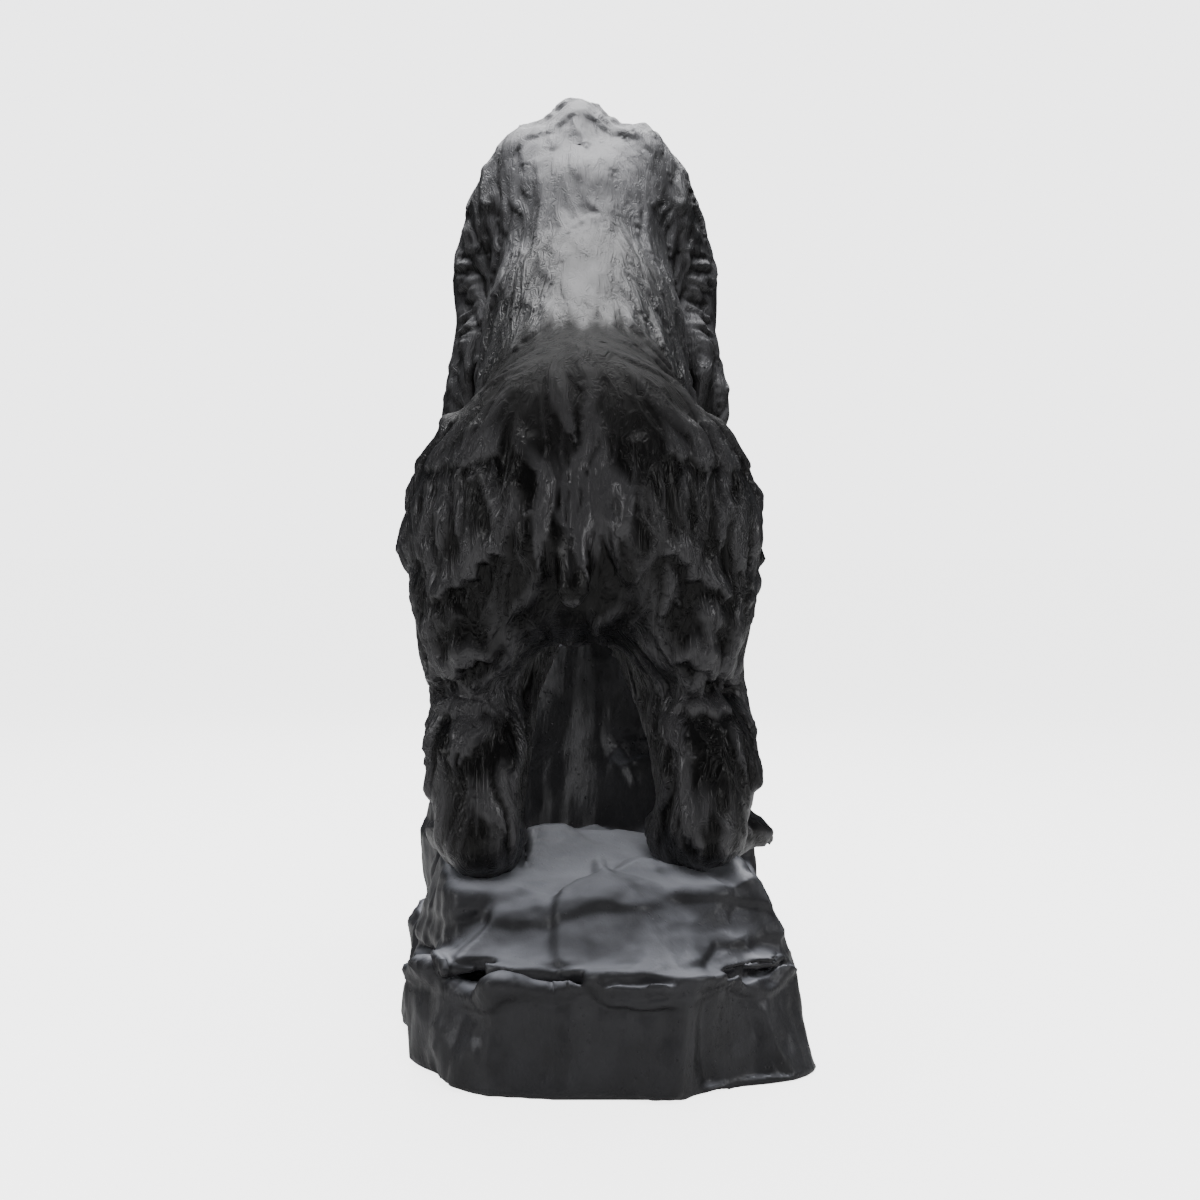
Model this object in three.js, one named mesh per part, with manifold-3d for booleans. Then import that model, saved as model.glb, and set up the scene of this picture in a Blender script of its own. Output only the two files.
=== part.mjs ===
// A bronze bear climbing a crag, in two castings: the figure and the rock that it stands on.
// Millimetres, +Z up. The bear looks along -Y, its left side is +X, and the origin is at the
// middle of the rock's underside.
import * as THREE from "three";
import { mergeVertices } from "three/addons/utils/BufferGeometryUtils.js";
import Module from "manifold-3d";

// Driving dimensions
const bearHeight = 1700; // from the hind soles to the top of the hump
const hindLedge = 370; // rock under the hind paws, above the floor
const pawSink = 7; // how deep a sole would reach into the rock before it is cut to seat
const seatGap = 0.3; // clearance between a sole and the rock
const facetWidth = 390; // how far apart the ridges of the rock's broken faces are
const facetDepth = 14; // and how far they stand in and out
const bearTriangles = 7000;
const rockTriangles = 2300;
const crumb = 0.4; // edges cheaper than this to draw together are crumbs of the cut

const manifold = await Module();
manifold.setup();
const { Manifold, Mesh } = manifold;

// The figure's proportions are thousandths of its height: across (+ to its left), forward, and up
// from the hind soles.
const share = bearHeight / 1000;
const bearCell = 8.8 * share; // grid cell that the figure is sampled at
const rockCell = 11.8 * share; // grid cell that the rock is sampled at
const place = (across, forward, up) =>
  new THREE.Vector3(across * share, -forward * share, up * share + hindLedge);

// Implicit shapes: each is a function of x, y, z that is negative inside, with its own blend radius

const lengthOf = (x, y, z) => Math.sqrt(x * x + y * y + z * z);

/** Rounds the crease where two shapes meet: the smaller distance, eased over a width. */
function smoothUnion(a, b, width) {
  const overlap = Math.max(width - Math.abs(a - b), 0) / width;
  return Math.min(a, b) - (overlap * overlap * width) / 4;
}

/** An ellipsoid pitched about the X axis, nose up for a positive pitch, and yawed about Z. */
function ball(centre, across, along, up, blend, pitch = 0, yaw = 0, carve = false) {
  const turn = new THREE.Matrix3().setFromMatrix4(
    new THREE.Matrix4().makeRotationFromEuler(
      new THREE.Euler(THREE.MathUtils.degToRad(-pitch), 0, THREE.MathUtils.degToRad(yaw), "ZYX"),
    ),
  );
  const m = turn.transpose().elements;
  const [rx, ry, rz] = [across * share, along * share, up * share];
  const reach = Math.max(rx, ry, rz);
  const distance = (x, y, z) => {
    const [dx, dy, dz] = [x - centre.x, y - centre.y, z - centre.z];
    const far = lengthOf(dx, dy, dz) - reach;
    if (far > reach) return far;
    const px = (m[0] * dx + m[3] * dy + m[6] * dz) / rx;
    const py = (m[1] * dx + m[4] * dy + m[7] * dz) / ry;
    const pz = (m[2] * dx + m[5] * dy + m[8] * dz) / rz;
    const k0 = lengthOf(px, py, pz);
    const k1 = lengthOf(px / rx, py / ry, pz / rz);
    return k1 < 1e-9 ? -Math.min(rx, ry, rz) : (k0 * (k0 - 1)) / k1;
  };
  return { distance, blend: blend * share, carve };
}

/** A limb between two joints, with a radius at each. */
function limb(from, to, startRadius, endRadius, blend) {
  const [r1, r2] = [startRadius * share, endRadius * share];
  const axis = new THREE.Vector3().subVectors(to, from);
  const length2 = axis.lengthSq();
  const rr = r1 - r2;
  const a2 = length2 - rr * rr;
  const il2 = 1 / length2;
  const distance = (px, py, pz) => {
    const [x, y, z] = [px - from.x, py - from.y, pz - from.z];
    const along = x * axis.x + y * axis.y + z * axis.z;
    const beyond = along - length2;
    const cx = x * length2 - axis.x * along;
    const cy = y * length2 - axis.y * along;
    const cz = z * length2 - axis.z * along;
    const x2 = cx * cx + cy * cy + cz * cz;
    const y2 = along * along * length2;
    const z2 = beyond * beyond * length2;
    const k = Math.sign(rr) * rr * rr * x2;
    if (Math.sign(beyond) * a2 * z2 > k) return Math.sqrt(x2 + z2) * il2 - r2;
    if (Math.sign(along) * a2 * y2 < k) return Math.sqrt(x2 + y2) * il2 - r1;
    return (Math.sqrt(x2 * a2 * il2) + along * rr) * il2 - r1;
  };
  return { distance, blend: blend * share };
}

/** A body that joins shapes in order, each eased into what came before, or carved out of it. */
class Blend {
  constructor(shapes) {
    this.shapes = shapes;
  }

  distance(x, y, z) {
    let d = 1e6;
    for (const s of this.shapes) {
      const e = s.distance(x, y, z);
      d = s.carve ? -smoothUnion(-d, e, s.blend) : smoothUnion(d, e, s.blend);
    }
    return d;
  }

  /** The body within a ball, made of the shapes that matter there; null where no surface is. */
  within(x, y, z, radius) {
    const here = this.distance(x, y, z);
    if (Math.abs(here) > 1.6 * radius + 24 * share) return null;
    const limit = Math.max(here, 0) + 2.6 * radius;
    return new Blend(this.shapes.filter((s) => s.distance(x, y, z) < limit + s.blend));
  }
}

// The figure

/** Trunk: pelvis, loin, ribs, chest, hump and shoulder blades. */
function trunk() {
  return [
    ball(place(0, 62, 445), 148, 150, 158, 40, 25),
    ball(place(0, 0, 345), 92, 90, 92, 55),
    ball(place(0, 205, 512), 134, 200, 142, 60, 34),
    ball(place(0, 375, 628), 136, 205, 150, 60, 36),
    ball(place(0, 530, 745), 138, 150, 180, 60, 20),
    ball(place(8, 600, 880), 58, 110, 135, 36, 12),
    ...[-1, 1].flatMap((side) => [
      ball(place(side * 84, 556, 836), 60, 96, 128, 42, 12, side * 6),
      ball(place(side * 66, -36, 410), 82, 84, 140, 50),
      ball(place(side * 92, 20, 455), 86, 100, 60, 30, 20),
    ]),
  ];
}

/** Neck and head, with the muzzle closed, small rounded ears and a ruff behind the cheeks. */
function headAndNeck() {
  return [
    limb(place(0, 600, 820), place(0, 735, 885), 128, 98, 60),
    limb(place(0, 610, 905), place(0, 745, 928), 68, 62, 50),
    ball(place(0, 795, 897), 82, 92, 78, 40, -8),
    limb(place(0, 850, 880), place(0, 922, 862), 52, 38, 28),
    limb(place(0, 840, 838), place(0, 912, 830), 38, 25, 18),
    ball(place(0, 950, 873), 23, 13, 16, 8, -10),
    ...[-1, 1].flatMap((side) => [
      ball(place(side * 54, 780, 862), 46, 62, 56, 35),
      ball(place(side * 36, 846, 920), 26, 34, 17, 20, -22),
      ball(place(side * 74, 766, 962), 30, 14, 32, 12, 0, side * 25),
      ball(place(side * 77, 778, 965), 18, 9, 20, 6, 0, side * 25, true),
      ball(place(side * 35, 864, 900), 13, 14, 11, 5),
    ]),
  ];
}

/** A paw's own frame: across, ahead of its middle, and above its sole. */
function pawFrame({ side, across, forward, up, toeOut, heel }) {
  const turn = THREE.MathUtils.degToRad(toeOut * side);
  const [c, s] = [Math.cos(turn), Math.sin(turn)];
  const middle = forward + heel;
  return (x, f, z) => place(across + x * c + f * s, middle - x * s + f * c, up + z);
}

/** One paw on its sole: a pad, five toes on an arc and their claws. */
function paw(stance) {
  const { width, length, claw } = stance;
  const local = pawFrame(stance);
  const toes = [-2, -1, 0, 1, 2].flatMap((i) => {
    const x = (i * width) / 5;
    const reach = length * 0.5 - i * i * 2.4;
    return [
      limb(local(x * 0.9, reach * 0.45, 26), local(x, reach, 19), 19, 18.5, 8),
      limb(local(x, reach + 6, 20), local(x * 1.04, reach + claw * 0.7, 16), 7.8, 7, 4),
      limb(local(x * 1.04, reach + claw * 0.7, 16), local(x * 1.04, reach + claw, 2), 7, 4.8, 3),
    ];
  });
  const [back, front] = [local(0, -length * 0.3, 28), local(0, length * 0.28, 26)];
  return [limb(back, front, width * 0.42, width * 0.44, 22), ...toes];
}

/** Hind leg: haunch, thigh, knee, shank and foot, heel on the rock. */
function hindLeg(stance) {
  const { side, across: x, forward: f, up: u } = stance;
  return [
    ball(place(side * 108, 38, 372), 86, 112, 118, 30, 15),
    limb(place(side * 108, 40, 385), place(side * 112, 105, 262), 86, 76, 40),
    ball(place(side * 116, 4, 285), 72, 74, 76, 30, -20),
    limb(place(side * 112, 96, 258), place(x, f - 5, u + 105), 70, 50, 30),
    limb(place(x, f - 8, u + 130), place(x, f - 28, u + 42), 50, 48, 25),
    ...paw(stance),
  ];
}

/** Foreleg: shoulder, upper arm, forearm and paw. */
function foreLeg(stance) {
  const { side, across: x, forward: f, up: u, elbow } = stance;
  return [
    ball(place(side * 112, 585, 775), 64, 92, 125, 40, 10),
    limb(place(side * (elbow - 14), 570, 740), place(side * elbow, 490, 575), 68, 50, 36),
    ball(place(side * (elbow - 2), 500, 600), 48, 66, 82, 30),
    limb(place(side * (elbow + 2), 495, 560), place(x, f - 30, u + 75), 50, 42, 30),
    limb(place(x, f - 32, u + 80), place(x, f - 12, u + 38), 43, 42, 20),
    ...paw(stance),
  ];
}

/** The short tail that hangs close to the rump. */
function tail() {
  return [limb(place(10, -100, 432), place(11, -122, 318), 15, 19, 12)];
}

// Where each leg comes down; heel is how far the middle of the paw is ahead of the leg
const hindPaw = { width: 100, length: 150, heel: 50, claw: 32 };
const forePaw = { width: 96, length: 118, heel: 20, claw: 40 };
const hindPaws = [
  { ...hindPaw, side: 1, across: 116, forward: 5, up: 0, toeOut: 12 },
  { ...hindPaw, side: -1, across: -138, forward: 12, up: 6, toeOut: 32 },
];
const forePaws = [
  { ...forePaw, side: 1, across: 148, forward: 650, up: 322, toeOut: 6, elbow: 130 },
  { ...forePaw, side: -1, across: -156, forward: 615, up: 328, toeOut: 8, elbow: 137 },
];
const bareShapes = [
  ...trunk(),
  ...headAndNeck(),
  ...tail(),
  ...hindPaws.flatMap(hindLeg),
  ...forePaws.flatMap(foreLeg),
];
const bareFigure = new Blend(bareShapes);

/** The point of the bare figure's skin nearest to a point, and the way that the skin faces. */
function onSkin(point) {
  const p = point.clone();
  const normal = new THREE.Vector3();
  const step = 4;
  for (let i = 0; i < 5; i++) {
    const d = bareFigure.distance(p.x, p.y, p.z);
    normal.set(
      bareFigure.distance(p.x + step, p.y, p.z) - d,
      bareFigure.distance(p.x, p.y + step, p.z) - d,
      bareFigure.distance(p.x, p.y, p.z + step) - d,
    );
    normal.normalize();
    p.addScaledVector(normal, -d);
  }
  return { p, normal };
}

const thinnest = (0.85 * bearCell) / share; // radius that the sampling grid can't miss

/** A row of tufts between two points: each lies along the skin and lifts off it at its tip. */
function fringe(from, to, count, fall, length, width, lift) {
  const along = new THREE.Vector3(fall[0], -fall[1], fall[2]).normalize();
  return Array.from({ length: count }, (_, i) => {
    const t = count > 1 ? i / (count - 1) : 0.5;
    const { p, normal } = onSkin(place(...from).lerp(place(...to), t));
    const uneven = 1 + 0.22 * Math.sin(i * 2.4 + from[2]);
    const flow = along.clone().addScaledVector(normal, -along.dot(normal)).normalize();
    const root = p.clone().addScaledVector(normal, -0.62 * width * share);
    const tip = p
      .clone()
      .addScaledVector(flow, length * share * uneven)
      .addScaledVector(normal, (lift - 0.3 * width) * share);
    return limb(root, tip, width, Math.max(width * 0.4, thinnest), width * 0.7);
  });
}

/** The heavy tufts: hips, knees, hocks, elbows, neck, chest, belly and rump. */
function tufts() {
  return [-1, 1].flatMap((s) => [
    ...fringe([s * 160, 60, 500], [s * 120, -70, 480], 4, [s * 0.4, -0.2, -1], 58, 18, -5),
    ...fringe([s * 190, 120, 420], [s * 150, -60, 400], 5, [s * 0.1, -0.3, -1], 62, 18, -6),
    ...fringe([s * 190, 140, 330], [s * 150, -60, 310], 5, [0, -0.3, -1], 60, 18, -4),
    ...fringe([s * 110, -60, 250], [s * 180, 40, 235], 4, [s * 0.1, -0.3, -1], 60, 18, 1),
    ...fringe([s * 150, 180, 300], [s * 110, 190, 240], 3, [0, 0.2, -1], 56, 17, 6),
    ...fringe([s * 95, -20, 160], [s * 170, 10, 150], 3, [0, -0.2, -1], 52, 13, -4),
    ...fringe([s * 190, 440, 680], [s * 190, 400, 560], 4, [s * 0.2, -0.8, -1], 62, 18, 0),
    ...fringe([s * 200, 560, 640], [s * 190, 440, 540], 4, [0, -0.3, -1], 60, 18, 0),
    ...fringe([s * 180, 470, 500], [s * 170, 540, 440], 3, [0, -0.5, -1], 50, 14, 6),
    ...fringe([s * 150, 520, 900], [s * 180, 500, 760], 4, [s * 0.3, -0.8, -0.6], 60, 18, -2),
    ...fringe([s * 110, 690, 960], [s * 120, 720, 790], 5, [s * 0.2, -1, -0.4], 70, 20, 3),
    ...fringe([s * 90, 760, 850], [s * 40, 770, 780], 3, [s * 0.2, -0.8, -0.8], 54, 16, 8),
    ...fringe([s * 150, 220, 520], [s * 150, 380, 610], 4, [s * 0.1, -0.6, -1], 66, 20, -1),
    ...fringe([s * 60, 200, 380], [s * 60, 420, 500], 5, [0, -0.5, -1], 56, 18, 12),
    ...fringe([s * 50, 620, 640], [s * 60, 700, 760], 3, [0, -0.3, -1], 64, 18, 10),
    ...fringe([s * 60, -110, 470], [s * 40, -110, 380], 3, [s * 0.2, -0.1, -1], 58, 16, 3),
  ]);
}

const figure = new Blend([...bareShapes, ...tufts()]);

// The rock

/** Broken faces: waves with straight flanks, so that ridges part flat facets. The space that they
 *  are measured in is itself bent, which makes the facets uneven in size. */
function facets(px, py, pz) {
  const w = facetWidth;
  const x = px + w * (0.2 * Math.sin((2 * pz) / w + 1) + 0.12 * Math.sin((2.6 * py) / w));
  const y = py + w * (0.19 * Math.sin((2.3 * px) / w + 2) + 0.1 * Math.sin((3.2 * pz) / w));
  const z = pz + w * 0.18 * Math.sin((1.7 * (px + py)) / w);
  const wave = (along, width) => 2 * Math.abs(2 * (along / width - Math.floor(along / width)) - 1) - 1;
  const broad = wave(0.86 * x + 0.48 * y + 0.15 * z + 0.1 * w, w);
  const crossed = wave(-0.3 * x + 0.55 * y + 0.78 * z + 0.23 * w, w * 0.83);
  const fine = wave(0.5 * x - 0.62 * y + 0.6 * z, w * 0.44);
  return facetDepth * (broad + 0.75 * crossed + 0.4 * fine);
}

const foreLedge = hindLedge + forePaws[0].up * share;
const belowFloor = -0.2 * hindLedge; // the blocks run below the floor and are cut off level with it

/** A convex block: sides around a rounded oblong plan, each leaning in or out, under tilted tops.
 *  Its place and half sizes in plan are thousandths of the bear's height. */
function boulder(spot) {
  const { top, sides, lean, seed } = spot;
  const { tops = [[0, 0]], bottom = belowFloor, turned = 0, smoothAbove = Infinity } = spot;
  const [x, y] = [spot.x * share, spot.y * share];
  const [halfWidth, halfLength] = [spot.halfWidth * share, spot.halfLength * share];
  const swing = THREE.MathUtils.degToRad(turned);
  const planes = tops.map(([tiltX, tiltY]) => {
    const n = new THREE.Vector3(tiltX, tiltY, 1).normalize();
    return { n, d: n.dot(new THREE.Vector3(x, y, top)) };
  });
  for (let i = 0; i < sides; i++) {
    const wobble = Math.sin(seed * 7.3 + i * 4.7);
    const even = (i / sides) * 2 * Math.PI;
    const turn = even + 0.14 * wobble * Math.abs(Math.sin(2 * even));
    const [c, s] = [Math.cos(turn), Math.sin(turn)];
    const [tc, ts] = [Math.cos(turn + swing), Math.sin(turn + swing)];
    const oval = Math.pow(Math.abs(halfWidth * c), 1.3) + Math.pow(Math.abs(halfLength * s), 1.3);
    const out = Math.pow(oval, 1 / 1.3) * (1 + 0.04 * Math.sin(seed + i * 2.1));
    const slope = lean + Math.min(0.12, lean + 0.01) * Math.sin(seed * 3.1 + i * 3.3);
    const n = new THREE.Vector3(tc, ts, slope).normalize();
    const foot = new THREE.Vector3(x + tc * out, y + ts * out, Math.max(bottom, 0));
    planes.push({ n, d: n.dot(foot) });
  }
  const distance = (px, py, pz) => {
    let d = bottom - pz;
    for (const { n, d: offset } of planes) d = Math.max(d, n.x * px + n.y * py + n.z * pz - offset);
    const rough = THREE.MathUtils.clamp((smoothAbove - pz) / (76 * share), 0, 1);
    return rough && Math.abs(d) < 7 * facetDepth ? d + rough * facets(px, py, pz) : d;
  };
  return { distance, blend: 15 * share };
}

/** A buttress under a paw, its flat top where the sole comes. */
function seat(stance, halfWidth, halfLength, lean, bottom, seed) {
  const ledge = hindLedge + stance.up * share;
  const spread = (lean * (ledge - Math.max(bottom, 0))) / share;
  return boulder({
    x: stance.across, y: -(stance.forward + 22), sides: 8, lean, seed, bottom, turned: 10 * seed,
    halfWidth: halfWidth + spread, halfLength: halfLength + spread,
    smoothAbove: ledge - 15 * share,
    top: ledge + pawSink, tops: [[0.02, 0.03], [-0.03 * stance.side, 0.3]],
  });
}

/** The room that a paw needs above its sole, cleared out of the crag so that it meets only its seat. */
function clearing(stance) {
  const { side, width, length, toeOut } = stance;
  const height = width * 0.45;
  const middle = pawFrame(stance)(0, length * 0.2, height);
  return ball(middle, width * 0.66, length * 0.8, height, 12, 0, toeOut * side, true);
}

/** A height between the hind ledge, at 0, and the fore ledge, at 1. */
const between = (t) => THREE.MathUtils.lerp(hindLedge, foreLedge, t);

const rockShift = -29; // the rock's middle stands off the figure's, to its right
const rearOfRock = 171;
const frontOfRock = -782;
const crag = [
  boulder({
    x: rockShift + 10, y: (rearOfRock + frontOfRock) / 2, halfWidth: 221, sides: 12,
    halfLength: (rearOfRock - frontOfRock) / 2, lean: 0.04, seed: 3, top: hindLedge * 0.65,
    tops: [[0.1, 0.05], [-0.12, 0.03], [0.02, -0.1]],
  }),
  boulder({
    x: rockShift + 4, y: -118, halfWidth: 206, halfLength: 241, sides: 8, lean: 0.35, turned: 8,
    seed: 8, top: hindLedge * 0.96, tops: [[0.05, 0.12], [-0.1, 0.02], [0.03, -0.1]],
  }),
  boulder({
    x: rockShift + 6, y: 33, halfWidth: 205, halfLength: 112, sides: 10, lean: 1.15, turned: 8,
    seed: 12, top: hindLedge * 0.92, bottom: hindLedge * 0.54,
    tops: [[0.06, 0.14], [-0.08, 0.2]],
  }),
  boulder({
    x: -136, y: 35, halfWidth: 88, halfLength: 88, sides: 8, lean: 0.5, turned: -14, seed: 7,
    top: hindLedge * 0.89, bottom: hindLedge * 0.27, tops: [[0.1, 0.2], [-0.06, 0.1]],
  }),
  boulder({
    x: -12, y: -115, halfWidth: 150, halfLength: 225, sides: 8, lean: 0.45, turned: 12, seed: 5,
    top: hindLedge * 1.115, bottom: hindLedge * 0.4, smoothAbove: hindLedge * 0.85,
    tops: [[0.08, -0.2], [-0.08, -0.22], [0.02, 0.3]],
  }),
  boulder({
    x: rockShift + 12, y: -482, halfWidth: 176, halfLength: 253, sides: 8, lean: 0.06, turned: -7,
    seed: 6, top: between(0.83), tops: [[0.05, 0.08], [-0.1, -0.1]],
  }),
  boulder({
    x: rockShift + 26, y: -547, halfWidth: 171, halfLength: 218, sides: 8, lean: 0.08, turned: 11,
    seed: 2, top: between(1), tops: [[0.0, 0.12], [0.06, -0.12], [-0.1, 0.02]],
  }),
  boulder({
    x: rockShift + 132, y: -376, halfWidth: 65, halfLength: 147, sides: 8, lean: 0.2, turned: 14,
    seed: 9, top: between(0.42), tops: [[0.3, 0.1]],
  }),
  boulder({
    x: rockShift - 112, y: -329, halfWidth: 65, halfLength: 159, sides: 8, lean: 0.25,
    turned: -18, seed: 4, top: between(0.27), tops: [[-0.25, 0.2]],
  }),
  boulder({
    x: rockShift - 6, y: -712, halfWidth: 159, halfLength: 88, sides: 8, lean: 0.2, turned: 9,
    seed: 11, top: between(0.49), tops: [[0.1, -0.35], [-0.1, -0.2]],
  }),
  ...[...hindPaws, ...forePaws].map(clearing),
  seat(hindPaws[0], 39, 76, 0.3, hindLedge * 0.57, 1),
  seat(hindPaws[1], 47, 76, 0.3, hindLedge * 0.57, 2),
  seat(forePaws[0], 47, 76, 0.06, belowFloor, 1),
  seat(forePaws[1], 47, 76, 0.06, belowFloor, 2),
];

const floorCut = { distance: (x, y, z) => z, blend: 0.01, carve: true };
const rock = new Blend([...crag, floorCut]);

// Meshing: marching tetrahedra over the cells near the surface, which always gives a closed mesh

/** Samples a body's distance on a grid and returns its zero surface as flat { points, faces }. */
function surfaceOf(body, box, cell) {
  const [nx, ny, nz] = box
    .getSize(new THREE.Vector3())
    .divideScalar(cell)
    .ceil()
    .addScalar(3)
    .toArray();
  const low = box.min.clone().subScalar(cell);
  const values = new Float32Array(nx * ny * nz).fill(NaN);
  const points = [];
  const faces = [];
  const cut = new Map();
  const corner = Array.from({ length: 8 }, () => ({ d: 0, at: 0, x: 0, y: 0, z: 0 }));
  const crossing = (a, b) => {
    const [s, e] = a < b ? [corner[a], corner[b]] : [corner[b], corner[a]];
    const key = s.at * 8 + (a ^ b);
    let found = cut.get(key);
    if (found === undefined) {
      const t = Math.min(Math.max(s.d / (s.d - e.d), 0.02), 0.98);
      found = points.push(s.x + (e.x - s.x) * t, s.y + (e.y - s.y) * t, s.z + (e.z - s.z) * t);
      found = found / 3 - 1;
      cut.set(key, found);
    }
    return found;
  };
  const addFace = (a, b, c, inner, outer) => {
    const [ax, ay, az] = [points[3 * a], points[3 * a + 1], points[3 * a + 2]];
    const [bx, by, bz] = [points[3 * b] - ax, points[3 * b + 1] - ay, points[3 * b + 2] - az];
    const [cx, cy, cz] = [points[3 * c] - ax, points[3 * c + 1] - ay, points[3 * c + 2] - az];
    const [i, o] = [corner[inner], corner[outer]];
    const facing =
      (by * cz - bz * cy) * (o.x - i.x) +
      (bz * cx - bx * cz) * (o.y - i.y) +
      (bx * cy - by * cx) * (o.z - i.z);
    if (facing > 0) faces.push(a, b, c);
    else faces.push(a, c, b);
  };
  // Each tetrahedron runs from corner 0 to corner 7 of its cell, through one edge and one face
  const tetrahedra = [[1, 3], [1, 5], [2, 3], [2, 6], [4, 5], [4, 6]].map((p) => [0, ...p, 7]);
  const marchCell = (i, j, k, part) => {
    let inside = 0;
    for (let bits = 0; bits < 8; bits++) {
      const [ci, cj, ck] = [i + (bits & 1), j + ((bits >> 1) & 1), k + (bits >> 2)];
      const c = corner[bits];
      c.at = ci + nx * (cj + ny * ck);
      c.x = low.x + ci * cell;
      c.y = low.y + cj * cell;
      c.z = low.z + ck * cell;
      if (Number.isNaN(values[c.at])) values[c.at] = part.distance(c.x, c.y, c.z);
      c.d = values[c.at];
      if (c.d < 0) inside++;
    }
    if (inside === 0 || inside === 8) return;
    for (const tetrahedron of tetrahedra) {
      const within = tetrahedron.filter((c) => corner[c].d < 0);
      const without = tetrahedron.filter((c) => corner[c].d >= 0);
      if (within.length === 2) {
        const [a, b] = within;
        const [c, d] = without;
        addFace(crossing(a, c), crossing(a, d), crossing(b, d), a, c);
        addFace(crossing(a, c), crossing(b, d), crossing(b, c), b, d);
      } else if (within.length && without.length) {
        const [one] = within.length === 1 ? within : without;
        const three = within.length === 1 ? without : within;
        addFace(...three.map((c) => crossing(one, c)), within[0], without[0]);
      }
    }
  };
  // Splits a block of cells in eight until it is small, and leaves out blocks away from the surface
  const marchBlock = (i, j, k, size, whole) => {
    const half = (size * cell) / 2;
    const middle = [low.x + i * cell + half, low.y + j * cell + half, low.z + k * cell + half];
    const part = whole.within(...middle, half * Math.sqrt(3));
    if (!part) return;
    const step = size > 4 ? size / 2 : 1;
    for (let ck = k; ck < Math.min(k + size, nz - 1); ck += step)
      for (let cj = j; cj < Math.min(j + size, ny - 1); cj += step)
        for (let ci = i; ci < Math.min(i + size, nx - 1); ci += step) {
          if (step > 1) marchBlock(ci, cj, ck, step, part);
          else marchCell(ci, cj, ck, part);
        }
  };
  marchBlock(0, 0, 0, 2 ** Math.ceil(Math.log2(Math.max(nx, ny, nz))), body);
  return { points, faces };
}

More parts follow.
